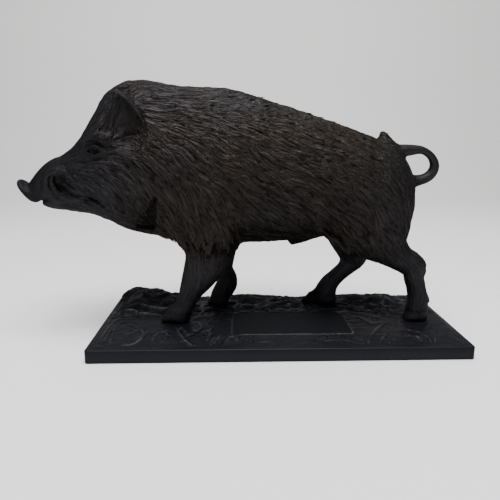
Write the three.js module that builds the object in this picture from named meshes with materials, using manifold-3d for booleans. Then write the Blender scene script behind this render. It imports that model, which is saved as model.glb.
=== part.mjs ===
/**
 * Standing wild boar on a rectangular ground plinth, both cast in dark patinated bronze.
 *
 * Millimetres. The origin is the centre of the plinth's underside, +Z is up, and the boar faces -X.
 * Its left flank looks along -Y. The boar is one closed casting, modelled as a solid body field:
 * chains of round-ended stations (side radius r, half thickness w) blended into each other, with
 * the tusks, eyes and ear hollows added to it or taken out of it. The plinth is a second casting.
 */
import * as THREE from "three";
import { SimplifyModifier } from "three/addons/modifiers/SimplifyModifier.js";
import { mergeVertices } from "three/addons/utils/BufferGeometryUtils.js";
import Module from "manifold-3d";

// Plinth
const PLINTH_LENGTH = 300;
const PLINTH_DEPTH = 125;
const RIM_HEIGHT = 10.6;
const CORNER_RADIUS = 2.5;
const RIM_BAND = 5; // flat border between the side and the modelled ground
const GROUND = 13.2; // height of the ground that the hooves stand on
const GROUND_STEP = 6.25; // spacing of the ground's grid
const RISE = 16; // distance over which the ground climbs from the band

// Bare name-plate recess on the near side of the ground
const PLATE = { left: -37.5, right: 60, near: -38, far: 14, tilt: 0.03, depth: 1.1 };
const PLATE_NEAR_RADIUS = 3;
const PLATE_FAR_RADIUS = 13;

// Boar
const MIDPLANE = 16; // y of the boar's plane of symmetry
const SEAM = 0.3; // gap between the soles and the ground
const SOLE = GROUND + SEAM;
const FORE_SPREAD = 22; // from the midplane to a front leg
const HIND_SPREAD = 22;
const NEAR = -1;
const FAR = 1;
const HOOVES = [
  { x: -86, y: MIDPLANE - FORE_SPREAD },
  { x: -50, y: MIDPLANE + FORE_SPREAD },
  { x: 122, y: MIDPLANE - HIND_SPREAD },
  { x: 46, y: MIDPLANE + HIND_SPREAD },
];
const TREAD = { length: 19, width: 13 }; // half sizes of the trodden level patch under a hoof
const WIDEST_BLEND = 14; // fillet between two parts of the body, at most
const BOAR_CELL = 2;
const BOAR_VERTICES = 3450;
const SMOOTHING_PASSES = 3;
const BOAR_BOX = new THREE.Box3(
  new THREE.Vector3(-228, -36, 6),
  new THREE.Vector3(148, 68, 222),
);

const wasm = await Module();
wasm.setup();

const clamp = THREE.MathUtils.clamp;
const lerp = THREE.MathUtils.lerp;
const smoothstep = THREE.MathUtils.smoothstep;

/** One station of a chain: centre x, z, radius in side view, half thickness across, y. */
function station(x, z, r, w = r, y = MIDPLANE) {
  return { x, y, z, r, w };
}

/** The same stations moved sideways, off the midplane by an amount for each of them. */
function aside(stations, side, offsets) {
  return stations.map((s, i) => ({ ...s, y: MIDPLANE + side * (offsets[i] ?? offsets.at(-1)) }));
}

/** Catmull-Rom value between b and c at share t. */
function spline(a, b, c, d, t) {
  const slopeIn = (c - a) / 2;
  const slopeOut = (d - b) / 2;
  const cube = 2 * b - 2 * c + slopeIn + slopeOut;
  const square = -3 * b + 3 * c - 2 * slopeIn - slopeOut;
  return ((cube * t + square) * t + slopeIn) * t + b;
}

/** Stations with smooth in-between ones added, so that a chain has no kinks. */
function refined(stations, steps) {
  const last = stations.length - 1;
  const out = [];
  for (let i = 0; i < last; i++) {
    const four = [stations[Math.max(i - 1, 0)], stations[i], stations[i + 1], stations[Math.min(i + 2, last)]];
    for (let step = 0; step < steps; step++) {
      const value = (key) => spline(...four.map((s) => s[key]), step / steps);
      out.push({ x: value("x"), y: value("y"), z: value("z"), r: value("r"), w: value("w") });
    }
  }
  return [...out, stations[last]];
}

/** Signed distance to a chain of stations, negative inside. Thickness across is w, not r. */
function chain(stations, steps = 3) {
  const fine = refined(stations, steps);
  const links = fine.slice(1).map((b, i) => {
    const a = fine[i];
    const dx = b.x - a.x;
    const dz = b.z - a.z;
    return { a, b, dx, dz, square: dx * dx + dz * dz };
  });
  const reach = new THREE.Box3();
  for (const { x, y, z, r, w } of fine) {
    reach.expandByPoint(new THREE.Vector3(x - r, y - w, z - r));
    reach.expandByPoint(new THREE.Vector3(x + r, y + w, z + r));
  }
  const point = new THREE.Vector3();
  return (x, y, z) => {
    const away = reach.distanceToPoint(point.set(x, y, z));
    if (away > WIDEST_BLEND) {
      return away;
    }
    let nearest = Infinity;
    for (const { a, b, dx, dz, square } of links) {
      const t = clamp(((x - a.x) * dx + (z - a.z) * dz) / square, 0, 1);
      const r = lerp(a.r, b.r, t);
      const across = ((y - lerp(a.y, b.y, t)) * r) / lerp(a.w, b.w, t);
      nearest = Math.min(nearest, Math.hypot(x - a.x - t * dx, across, z - a.z - t * dz) - r);
    }
    return nearest;
  };
}

/** Signed distance to a round disc with a rounded edge. */
function disc(centre, axis, radius, edge) {
  const offset = new THREE.Vector3();
  const normal = axis.clone().normalize();
  return (x, y, z) => {
    offset.set(x, y, z).sub(centre);
    const along = offset.dot(normal);
    const out = Math.sqrt(Math.max(offset.lengthSq() - along * along, 0));
    return Math.hypot(Math.max(out - radius + edge, 0), along) - edge;
  };
}

/** Two bodies run into each other over a fillet about blend wide. */
function joined(first, second, blend) {
  return (x, y, z) => {
    const a = first(x, y, z);
    const b = second(x, y, z);
    const h = Math.max(blend - Math.abs(a - b), 0) / blend;
    return Math.min(a, b) - (h * h * blend) / 4;
  };
}

/** The second body is carved out of the first, with a soft edge about blend wide. */
function carved(first, second, blend) {
  return (x, y, z) => {
    const a = first(x, y, z);
    const b = -second(x, y, z);
    const h = Math.max(blend - Math.abs(a - b), 0) / blend;
    return Math.max(a, b) + (h * h * blend) / 4;
  };
}

/** Barrel, rump and the high mane over the shoulders. */
function torso() {
  const barrel = chain([
    station(-100, 146, 59, 35),
    station(-62, 140.5, 63, 39),
    station(-20, 138, 60, 40),
    station(20, 133.3, 52.8, 38.5),
    station(52, 130, 45.6, 36),
    station(74.5, 122, 45.3, 34),
  ]);
  const mane = chain([
    station(-121.8, 184, 26.2, 15),
    station(-112, 186.4, 26.4, 16),
    station(-84, 181, 26.3, 17),
    station(-46, 185.5, 21.4, 13),
    station(-24, 182, 17.5, 12),
  ]);
  const buttocks = chain([station(78, 112, 42, 33), station(84.5, 96, 33, 29)]);
  return joined(joined(barrel, mane, 8), buttocks, 6);
}

/** Neck and wedge-shaped head, down to the blunt snout with its flared disc. */
function head() {
  const wedge = chain([
    station(-104, 146, 60, 34),
    station(-130, 139.5, 43, 31),
    station(-150, 134.5, 32, 24),
    station(-170, 130.5, 24.5, 17.5),
    station(-188, 127.8, 20, 12.5),
    station(-198.5, 124.5, 11.6, 10.5),
    station(-207, 122, 7.6, 8.5),
  ]);
  const snout = disc(
    new THREE.Vector3(-211.4, MIDPLANE, 123.2),
    new THREE.Vector3(-0.79, 0, -0.61),
    11,
    2.3,
  );
  const jaw = chain([
    station(-195, 113.6, 4.4, 6),
    station(-187, 114, 7, 8),
    station(-170, 115, 9.2, 12),
    station(-148, 114, 12.4, 18),
    station(-126, 112, 17.4, 24),
  ]);
  return joined(joined(wedge, snout, 5), jaw, 5);
}

/** Cheek, brow and lip of one side of the head. */
function faceRelief(body, side) {
  const cheek = chain(aside([station(-140, 124, 17, 11), station(-118, 122, 22, 12)], side, [14, 22]));
  const brow = chain(aside(
    [station(-154, 163, 3.4), station(-144, 164.5, 4.6), station(-135, 161, 4)],
    side,
    [13.5, 17, 21],
  ));
  const lip = chain(aside(
    [station(-194, 121, 5.4), station(-187, 126, 6.2), station(-179, 122, 5.2)],
    side,
    [7.5, 9.6, 11],
  ));
  const socket = chain(aside([station(-149.5, 156.4, 4), station(-143, 155.5, 3.6)], side, [21.5, 25]));
  const mouth = chain(aside(
    [station(-177, 117.4, 1.8), station(-168, 119, 2.4), station(-157, 119, 2.2), station(-149, 112, 1.8)],
    side,
    [15.2, 17.4, 20.6, 21],
  ));
  const eye = chain(aside([station(-147.2, 156, 3), station(-145.6, 156, 3)], side, [18, 18.8]));
  const tusk = chain(aside(
    [station(-184, 117, 3.2), station(-188, 120, 2.8), station(-189, 124.5, 2.4), station(-187, 129, 1.9)],
    side,
    [12, 15, 16.4, 15.6],
  ));
  const raised = [[cheek, 12], [brow, 5], [lip, 4]].reduce((all, [one, blend]) => joined(all, one, blend), body);
  const cut = carved(carved(raised, socket, 3), mouth, 3);
  return joined(joined(cut, eye, 1), tusk, 2);
}

/** Upright pointed ear, hollow on its outer side. */
function withEar(body, side) {
  const leaf = chain(aside(
    [
      station(-121, 160, 15.5, 10),
      station(-120.6, 171, 15.8, 8),
      station(-121.2, 181, 12.6, 6.4),
      station(-123, 190, 9, 5),
      station(-126.4, 198, 4.8, 3.6),
      station(-128.3, 201.6, 2.4, 2.6),
    ],
    side,
    [21, 21.5, 21.5, 21, 20, 19.5],
  ));
  const hollow = chain(aside(
    [
      station(-122, 169, 9.5, 7),
      station(-121.8, 178, 9.6, 7),
      station(-123.6, 188, 6, 5),
      station(-127, 196.5, 2.2, 2.6),
    ],
    side,
    [31, 29.6, 27.2, 24],
  ));
  return carved(joined(body, leaf, 5), hollow, 3);
}

/** Shoulder, foreleg, knee, fetlock and hoof of one front leg. */
function foreleg(side) {
  const near = side === NEAR;
  const stations = near
    ? [
        station(-58, 108, 34, 18),
        station(-56.5, 84, 24, 15),
        station(-58, 71, 19, 12),
        station(-62.4, 60, 16.2, 10.5),
        station(-67.6, 50, 13, 9.5),
        station(-72.4, 41, 10.2, 9),
        station(-76, 33, 8.4, 8.2),
        station(-79.2, 25, 8.4, 8.6),
        station(-83.2, 17, 9.6, 9.6),
      ]
    : [
        station(-58, 108, 32, 18),
        station(-54, 82, 22, 14),
        station(-50, 68, 16, 11.5),
        station(-47.4, 57, 11, 9.5),
        station(-45.8, 47, 8.2, 8.2),
        station(-42.6, 38, 8.8, 8.2),
        station(-43.8, 31, 9.8, 8.4),
        station(-48.6, 23, 9.2, 8.8),
        station(-51, 17, 9.2, 9.2),
      ];
  const leg = chain(aside(stations, side, [19, 20, 21, FORE_SPREAD]));
  const toe = near
    ? [station(-81, 17, 7.5, 9), station(-89, 13.5, 6, 7.6), station(-95.5, 12, 4, 5.4)]
    : [station(-49, 17, 7, 8.6), station(-55, 13.5, 5.6, 7.2), station(-59, 12.4, 3.8, 5)];
  return joined(leg, chain(aside(toe, side, [FORE_SPREAD])), 3);
}

/** Haunch, hock, cannon and hoof of one hind leg. The far one is set forward. */
function hindleg(side) {
  const near = side === NEAR;
  const stations = near
    ? [
        station(74, 116, 38, 17),
        station(81.5, 97, 30, 18),
        station(88, 84.5, 20.8, 16),
        station(98.6, 73, 13.8, 12),
        station(108, 65.8, 11, 9.5),
        station(117.2, 59.8, 10.7, 8.6),
        station(118.4, 50, 8.4, 8.2),
        station(121.4, 39.5, 8, 7.8),
        station(123.4, 29, 8.7, 8),
        station(122.4, 18, 9.6, 9),
      ]
    : [
        station(72, 112, 37, 17),
        station(72, 95, 28, 17),
        station(70.4, 80, 19.6, 14.5),
        station(72, 68.5, 14.6, 11),
        station(74, 59, 13, 9),
        station(70.4, 49, 8.4, 8.4),
        station(61.4, 40, 7.4, 7.8),
        station(54, 32, 8.6, 8),
        station(49.4, 23, 10.2, 8.8),
        station(49, 17, 9.6, 9),
      ];
  const leg = chain(aside(stations, side, [16, 18, 19, 20, 21, HIND_SPREAD]));
  const toe = near
    ? [station(125, 16, 7.5, 8.6), station(118, 13.5, 6.4, 8), station(113.5, 12, 4, 5.4)]
    : [station(52, 16, 7, 8.4), station(42, 16, 6.8, 7.6), station(33.2, 14.6, 4.8, 5.4)];
  return joined(leg, chain(aside(toe, side, [HIND_SPREAD])), 3);
}

/** Belly sheath, hair tuft over the tail root, and the tail curled back to the rump. */
function trimmings() {
  const sheath = chain([station(36, 90, 7, 8), station(22, 81.5, 5.2, 6), station(15.5, 78, 3, 3.4)]);
  const tuft = chain([station(92, 160, 6), station(90, 167, 3.4), station(89.6, 170.6, 1.9)]);
  const tail = chain([
    station(90, 155, 8.6),
    station(103, 156, 6),
    station(114, 157, 4.8),
    station(125, 157, 3.3),
    station(133.6, 151.6, 3.3),
    station(137, 143.6, 4),
    station(134.2, 136.4, 4.3),
    station(127.4, 132.2, 4.5),
    station(118, 130.5, 5.2),
  ]);
  return joined(joined(sheath, tuft, 3), tail, 3);
}

/** The whole animal as one field. */
function boarField() {
  const legs = [foreleg(NEAR), foreleg(FAR), hindleg(NEAR), hindleg(FAR)];
  let body = joined(torso(), head(), 10);
  body = legs.reduce((all, leg) => joined(all, leg, 9), body);
  body = joined(body, trimmings(), 4);
  for (const side of [NEAR, FAR]) {
    body = withEar(faceRelief(body, side), side);
  }
  return body;
}

/** Values of a field on the corners of a cubic grid over a box. */
function sampled(field, box, cell) {
  const count = box.getSize(new THREE.Vector3()).divideScalar(cell).ceil().addScalar(1).toArray();
  const values = new Float32Array(count[0] * count[1] * count[2]);
  let n = 0;
  for (let k = 0; k < count[2]; k++) {
    for (let j = 0; j < count[1]; j++) {
      for (let i = 0; i < count[0]; i++) {
        values[n++] = field(box.min.x + i * cell, box.min.y + j * cell, box.min.z + k * cell);
      }
    }
  }
  return { values, count, strides: [1, count[0], count[0] * count[1]] };
}

/** The point of a crossed cell: the mean of the places where its edges meet the surface. */
function cellPoint(values, strides, base) {
  const sum = new THREE.Vector3();
  let crossings = 0;
  for (let axis = 0; axis < 3; axis++) {
    const [second, third] = [(axis + 1) % 3, (axis + 2) % 3];
    for (const [u, v] of [[0, 0], [1, 0], [0, 1], [1, 1]]) {
      const start = base + u * strides[second] + v * strides[third];
      const a = values[start];
      const b = values[start + strides[axis]];
      if (a < 0 !== b < 0) {
        const at = [0, 0, 0];
        at[axis] = a / (a - b);
        at[second] = u;
        at[third] = v;
        sum.add(new THREE.Vector3(...at));
        crossings++;
      }
    }
  }
  return crossings ? sum.divideScalar(crossings) : null;
}

/** Moves a point onto the zero surface along the field's slope, by no more than a limit a step. */
function settled(field, point, limit) {
  const step = 0.05;
  for (let pass = 0; pass < 2; pass++) {
    const { x, y, z } = point;
    const value = field(x, y, z);
    const slope = new THREE.Vector3(
      field(x + step, y, z) - field(x - step, y, z),
      field(x, y + step, z) - field(x, y - step, z),
      field(x, y, z + step) - field(x, y, z - step),
    ).divideScalar(2 * step);
    const shift = slope.multiplyScalar(-value / Math.max(slope.lengthSq(), 0.2));
    point.add(shift.clampLength(0, limit));
  }
  return point;
}

/** Closed triangle mesh of the surface where a field is zero, with one vertex in each crossed cell. */
function surfaceOf(field, box, cell) {
  const { values, count, strides } = sampled(field, box, cell);
  const vertexOf = new Map();
  const positions = [];
  const eachCell = (visit) => {
    for (let k = 0; k < count[2] - 1; k++) {
      for (let j = 0; j < count[1] - 1; j++) {
        for (let i = 0; i < count[0] - 1; i++) {
          visit(i, j, k, i + j * strides[1] + k * strides[2]);
        }
      }
    }
  };
  eachCell((i, j, k, base) => {
    const point = cellPoint(values, strides, base);
    if (point) {
      vertexOf.set(base, positions.length / 3);
      point.add(new THREE.Vector3(i, j, k)).multiplyScalar(cell).add(box.min);
      positions.push(...point);
    }
  });
  const triangles = [];
  eachCell((i, j, k, base) => {
    for (let axis = 0; axis < 3; axis++) {
      const inside = values[base] < 0;
      if (inside !== values[base + strides[axis]] < 0) {
        const [u, v] = [strides[(axis + 1) % 3], strides[(axis + 2) % 3]];
        const [a, b, c, d] = [base - u - v, base - v, base, base - u].map((at) => vertexOf.get(at));
        triangles.push(...(inside ? [a, b, c, a, c, d] : [a, c, b, a, d, c]));
      }
    }
  });
  return new THREE.BufferGeometry()
    .setAttribute("position", new THREE.Float32BufferAttribute(positions, 3))
    .setIndex(triangles);
}

/** Evens out a mesh: each vertex moves to the mean of its neighbours, then back onto the surface. */
function evened(geometry, field, limit) {
  const position = geometry.getAttribute("position");
  const index = geometry.getIndex().array;
  const sums = Array.from({ length: position.count }, () => new THREE.Vector4(0, 0, 0, 0));
  const point = new THREE.Vector3();
  for (let i = 0; i < index.length; i++) {
    const next = index[i % 3 === 2 ? i - 2 : i + 1];
    point.fromBufferAttribute(position, next);
    sums[index[i]].add(new THREE.Vector4(...point, 1));
  }
  sums.forEach((sum, i) => {
    const moved = settled(field, point.set(sum.x, sum.y, sum.z).divideScalar(sum.w), limit);
    position.setXYZ(i, ...moved);
  });
}

/** A geometry as a solid that can be joined and cut. */
function solidOf(geometry) {
  const bare = new THREE.BufferGeometry().setAttribute("position", geometry.getAttribute("position"));
  bare.setIndex(geometry.getIndex());
  const merged = mergeVertices(bare, 1e-4);
  return new wasm.Manifold(new wasm.Mesh({
    numProp: 3,
    vertProperties: new Float32Array(merged.getAttribute("position").array),
    triVerts: new Uint32Array(merged.getIndex().array),
  }));
}

/** A named mesh of a finished solid. */
function meshOf(name, solid, material) {
  const { vertProperties, triVerts, numProp, numVert } = solid.getMesh();
  const positions = new Float32Array(numVert * 3);
  for (let i = 0; i < numVert; i++) {
    positions.set(vertProperties.subarray(i * numProp, i * numProp + 3), i * 3);
  }
  const geometry = new THREE.BufferGeometry()
    .setAttribute("position", new THREE.BufferAttribute(positions, 3))
    .setIndex(new THREE.BufferAttribute(new Uint32Array(triVerts), 1));
  geometry.computeVertexNormals();
  const mesh = new THREE.Mesh(geometry, material);
  mesh.name = name;
  return mesh;
}

/** The boar's casting, thinned to few triangles and cut flat under the hooves. */
async function boarSolid() {
  const field = boarField();
  const skin = surfaceOf(field, BOAR_BOX, BOAR_CELL);
  for (let pass = 0; pass < SMOOTHING_PASSES; pass++) {
    evened(skin, field, BOAR_CELL / 2);
  }
  skin.computeVertexNormals();
  const surplus = skin.getAttribute("position").count - BOAR_VERTICES;
  const thinned = await new SimplifyModifier().modify(skin, surplus);
  const size = BOAR_BOX.getSize(new THREE.Vector3()).addScalar(20);
  const above = new THREE.BoxGeometry(...size).translate(
    ...BOAR_BOX.getCenter(new THREE.Vector3()).setZ(SOLE + size.z / 2),
  );
  return solidOf(thinned).intersect(solidOf(above));
}

/** A soft mound of the ground, of unit height at its top. */
function mound(x, y, centreX, centreY, reachX, reachY) {
  return Math.exp(-(((x - centreX) / reachX) ** 2) - ((y - centreY) / reachY) ** 2);
}

/** Height of the modelled ground over the plinth. */
function groundHeight(x, y) {
  const fromEdge = Math.min(PLINTH_LENGTH / 2 - Math.abs(x), PLINTH_DEPTH / 2 - Math.abs(y));
  const inner = smoothstep(fromEdge, RIM_BAND, RIM_BAND + RISE);
  const border = smoothstep(fromEdge, RIM_BAND - 1, RIM_BAND + 5);
  const level = RIM_HEIGHT + (GROUND - 0.7 - RIM_HEIGHT) * inner;
  const bank = 12 * mound(x, y, -114, 49, 30, 16)
    + 4.2 * mound(x, y, -25, 55, 44, 9)
    + 5 * mound(x, y, 88, 52, 48, 11)
    + 2.6 * mound(x, y, 141, 10, 8, 45)
    + 2.2 * mound(x, y, -138, 0, 8, 40);
  const lumps = 0.55 * Math.sin(x / 6.1 + y / 9) * Math.cos(y / 5.3 - x / 14);
  const open = level + border * (bank + lumps);
  const toHoof = HOOVES.map((hoof) => Math.hypot((x - hoof.x) / TREAD.length, (y - hoof.y) / TREAD.width));
  const trodden = 1 - smoothstep(Math.min(...toHoof), 1, 1.6);
  return lerp(open, Math.min(open, GROUND), trodden);
}

/** Outline of the plinth in plan, with small round corners. */
function plinthOutline() {
  const [x, y, r] = [PLINTH_LENGTH / 2, PLINTH_DEPTH / 2, CORNER_RADIUS];
  return new THREE.Shape()
    .absarc(x - r, y - r, r, 0, Math.PI / 2)
    .absarc(r - x, y - r, r, Math.PI / 2, Math.PI)
    .absarc(r - x, r - y, r, Math.PI, 1.5 * Math.PI)
    .absarc(x - r, r - y, r, 1.5 * Math.PI, 2 * Math.PI);
}

/** Tool that sinks the bare plate: sharp near corners, large round far ones, tilted to the viewer. */
function plateTool() {
  const { left, right, near, far, tilt, depth } = PLATE;
  const [n, f] = [PLATE_NEAR_RADIUS, PLATE_FAR_RADIUS];
  const outline = new THREE.Shape()
    .absarc(left + n, near + n, n, Math.PI, 1.5 * Math.PI)
    .absarc(right - n, near + n, n, 1.5 * Math.PI, 2 * Math.PI)
    .absarc(right - f, far - f, f, 0, Math.PI / 2)
    .absarc(left + f, far - f, f, Math.PI / 2, Math.PI);
  return new THREE.ExtrudeGeometry(outline, { depth: GROUND, bevelEnabled: false, curveSegments: 8 })
    .translate(0, -near, 0)
    .rotateX(tilt)
    .translate(0, near, RIM_HEIGHT + 1.2 - depth);
}

/** The plinth: a straight-sided slab whose top is the modelled ground. */
function plinthSolid() {
  const margin = 2 * GROUND_STEP;
  const [length, depth] = [PLINTH_LENGTH + margin, PLINTH_DEPTH + margin];
  const earth = new THREE.BoxGeometry(
    length,
    depth,
    GROUND,
    Math.round(length / GROUND_STEP),
    Math.round(depth / GROUND_STEP),
    1,
  );
  const position = earth.getAttribute("position");
  for (let i = 0; i < position.count; i++) {
    const top = position.getZ(i) > 0;
    position.setZ(i, top ? groundHeight(position.getX(i), position.getY(i)) : -GROUND);
  }
  const slab = new THREE.ExtrudeGeometry(plinthOutline(), {
    depth: 3 * GROUND,
    bevelEnabled: false,
    curveSegments: 4,
  });
  return solidOf(slab).intersect(solidOf(earth)).subtract(solidOf(plateTool()));
}

const darkBronze = new THREE.MeshStandardMaterial({ color: "#2b2522", roughness: 0.48, metalness: 0.9 });
const groundBronze = new THREE.MeshStandardMaterial({ color: "#262527", roughness: 0.55, metalness: 0.9 });

const model = new THREE.Group();
model.add(meshOf("plinth", plinthSolid(), groundBronze));
model.add(meshOf("boar", await boarSolid(), darkBronze));

export default model;
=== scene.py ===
"""Wild boar in patinated bronze on its ground plinth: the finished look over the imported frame.

The frame's two solids fix the places and the outline. Each is replaced here by one closed mesh that
carries the carving: the combed coat, the face, ears and hooves on the animal, and the banks, pressed
leaves and bare name-plate recess on the plinth. Single locks of hair and blades of grass are strewn
over the two by a Geometry Nodes tree. Sizes are millimetres until a mesh is handed to Blender.
"""

import logging
import math
from dataclasses import dataclass, field
from enum import Enum
from itertools import product
from typing import Callable, ClassVar, Protocol, Sequence

import bpy
import numpy as np
from mathutils import Matrix, Vector


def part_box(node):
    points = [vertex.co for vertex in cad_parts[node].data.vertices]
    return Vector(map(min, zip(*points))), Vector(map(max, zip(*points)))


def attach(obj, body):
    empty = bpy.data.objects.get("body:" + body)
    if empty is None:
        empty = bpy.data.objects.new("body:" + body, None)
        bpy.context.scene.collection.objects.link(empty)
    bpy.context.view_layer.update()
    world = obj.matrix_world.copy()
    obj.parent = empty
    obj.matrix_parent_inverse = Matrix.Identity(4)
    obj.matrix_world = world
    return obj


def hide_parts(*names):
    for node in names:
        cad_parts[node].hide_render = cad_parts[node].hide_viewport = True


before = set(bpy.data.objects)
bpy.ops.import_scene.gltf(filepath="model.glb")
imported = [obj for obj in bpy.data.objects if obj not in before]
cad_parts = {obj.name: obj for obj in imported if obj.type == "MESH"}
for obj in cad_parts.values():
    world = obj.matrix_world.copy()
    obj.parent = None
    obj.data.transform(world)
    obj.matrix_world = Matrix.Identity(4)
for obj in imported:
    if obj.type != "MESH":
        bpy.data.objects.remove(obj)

Array = np.ndarray
MM = 0.001
FAR_AWAY = 1000.0
WIDEST_BLEND = 14.0

log = logging.getLogger("boar")


class Side(Enum):
    """Side of the animal, as the sign of its offset from the midplane along Y."""

    NEAR = -1
    FAR = 1


class Work(Enum):
    """What a stroke of the modelling does."""

    ADD = "add"
    CUT = "cut"


def smoothstep(values: Array, low: float, high: float) -> Array:
    """Ease values from 0 at low to 1 at high.

    Args:
        values: Numbers to ease.
        low: Value that gives 0.
        high: Value that gives 1.

    Returns:
        The eased numbers.
    """
    t = np.clip((values - low) / (high - low), 0.0, 1.0)
    return t * t * (3.0 - 2.0 * t)


def within(values: Array, low: float, high: float, ease: float) -> Array:
    """Return 1 between low and high, easing to 0 over a distance outside."""
    return smoothstep(values, low - ease, low) * (1 - smoothstep(values, high, high + ease))


def frame_box(solid: str) -> tuple[Array, Array]:
    """Return a frame solid's lowest and highest corners, to a tenth of a millimetre."""
    low, high = (np.round(np.array(corner) / MM, 1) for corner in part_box(solid))
    return low, high


@dataclass(frozen=True)
class Spot:
    """An oval place on the animal in side view: its middle and its half width and height."""

    x: float
    z: float
    wide: float
    high: float

    def away(self, x: Array, z: Array) -> Array:
        """Return distances from the middle, 1 on the oval itself."""
        return np.hypot((x - self.x) / self.wide, (z - self.z) / self.high)

    def share(self, x: Array, z: Array) -> Array:
        """Return 1 in the middle, falling off softly past the oval."""
        return np.exp(-(((x - self.x) / self.wide) ** 2) - ((z - self.z) / self.high) ** 2)


@dataclass(frozen=True)
class Station:
    """One round of a chain, in the animal's own plane.

    x and z place its centre, r is its radius in side view, w its half thickness across,
    and off its distance from the midplane, outward.
    """

    x: float
    z: float
    r: float
    w: float = 0.0
    off: float = 0.0

    def row(self, midplane: float, side: int) -> list[float]:
        """Return x, y, z, r and w of the station on one side of the midplane."""
        return [self.x, midplane + side * self.off, self.z, self.r, self.w or self.r]


class Shape(Protocol):
    """A solid shape that can be added to the clay or cut from it."""

    def reach(self) -> tuple[Array, Array]:
        """Return the lowest and highest corners of the shape's box."""

    def distance(self, points: Array) -> Array:
        """Return the signed distances of points, negative inside."""


class Chain:
    """Round-ended stations joined by a smooth hull."""

    def __init__(self, stations: Sequence[Station], midplane: float, side: int = 0, steps: int = 3) -> None:
        """Refine the stations with a Catmull-Rom curve.

        Args:
            stations: Stations from one end to the other.
            midplane: Y of the plane that offsets are counted from.
            side: Sign of the offsets.
            steps: Links made between two stations.
        """
        rows = np.array([station.row(midplane, side) for station in stations])
        padded = np.vstack([rows[:1], rows, rows[-1:]])
        fine = []
        for i in range(len(rows) - 1):
            a, b, c, d = padded[i : i + 4]
            slope_in, slope_out = (c - a) / 2, (d - b) / 2
            for t in np.arange(steps) / steps:
                cube = 2 * b - 2 * c + slope_in + slope_out
                square = 3 * c - 3 * b - 2 * slope_in - slope_out
                fine.append(((cube * t + square) * t + slope_in) * t + b)
        fine.append(rows[-1])
        self.rows = np.array(fine)

    def reach(self) -> tuple[Array, Array]:
        """Find the box that holds the chain.

        Returns:
            Its lowest and highest corners.
        """
        x, y, z, r, w = self.rows.T
        low = np.array([(x - r).min(), (y - w).min(), (z - r).min()])
        high = np.array([(x + r).max(), (y + w).max(), (z + r).max()])
        return low, high

    def distance(self, points: Array) -> Array:
        """Return the signed distances of points, negative inside.

        Args:
            points: Places, one per row.

        Returns:
            Distances in side view, with thickness across scaled to the side radius.
        """
        x, y, z = points.T
        nearest = np.full(len(points), FAR_AWAY, dtype=points.dtype)
        for a, b in zip(self.rows[:-1], self.rows[1:]):
            dx, dz = b[0] - a[0], b[2] - a[2]
            t = ((x - a[0]) * dx + (z - a[2]) * dz) / (dx * dx + dz * dz)
            np.clip(t, 0.0, 1.0, out=t)
            r = a[3] + t * (b[3] - a[3])
            across = (y - a[1] - t * (b[1] - a[1])) * r / (a[4] + t * (b[4] - a[4]))
            gap = np.sqrt((x - a[0] - t * dx) ** 2 + across**2 + (z - a[2] - t * dz) ** 2) - r
            np.minimum(nearest, gap, out=nearest)
        return nearest


@dataclass(frozen=True)
class Disc:
    """Round disc with a rounded edge, standing across an axis in the animal's plane."""

    centre: tuple[float, float, float]
    axis: tuple[float, float, float]
    radius: float
    edge: float

    def reach(self) -> tuple[Array, Array]:
        """Return the lowest and highest corners of a box round the disc."""
        centre = np.array(self.centre)
        return centre - self.radius, centre + self.radius

    def distance(self, points: Array) -> Array:
        """Measure how far points are from the disc.

        Args:
            points: Places, one per row.

        Returns:
            Signed distances, negative inside.
        """
        offset = points - np.array(self.centre, dtype=points.dtype)
        along = offset @ np.array(self.axis, dtype=points.dtype)
        out = np.sqrt(np.maximum((offset**2).sum(axis=1) - along**2, 0.0))
        return np.hypot(np.maximum(out - self.radius + self.edge, 0.0), along) - self.edge


@dataclass(frozen=True)
class Below:
    """Everything under a level, to cut the soles flat."""

    level: float

    def reach(self) -> tuple[Array, Array]:
        """Return a box that holds the whole space under the level."""
        return np.full(3, -FAR_AWAY), np.array([FAR_AWAY, FAR_AWAY, self.level])

    def distance(self, points: Array) -> Array:
        """Return heights over the level."""
        return points[:, 2] - self.level


@dataclass(frozen=True)
class Stroke:
    """A shape, what it does, and how wide its edge is worked in."""

    shape: Shape
    blend: float
    work: Work


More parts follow.
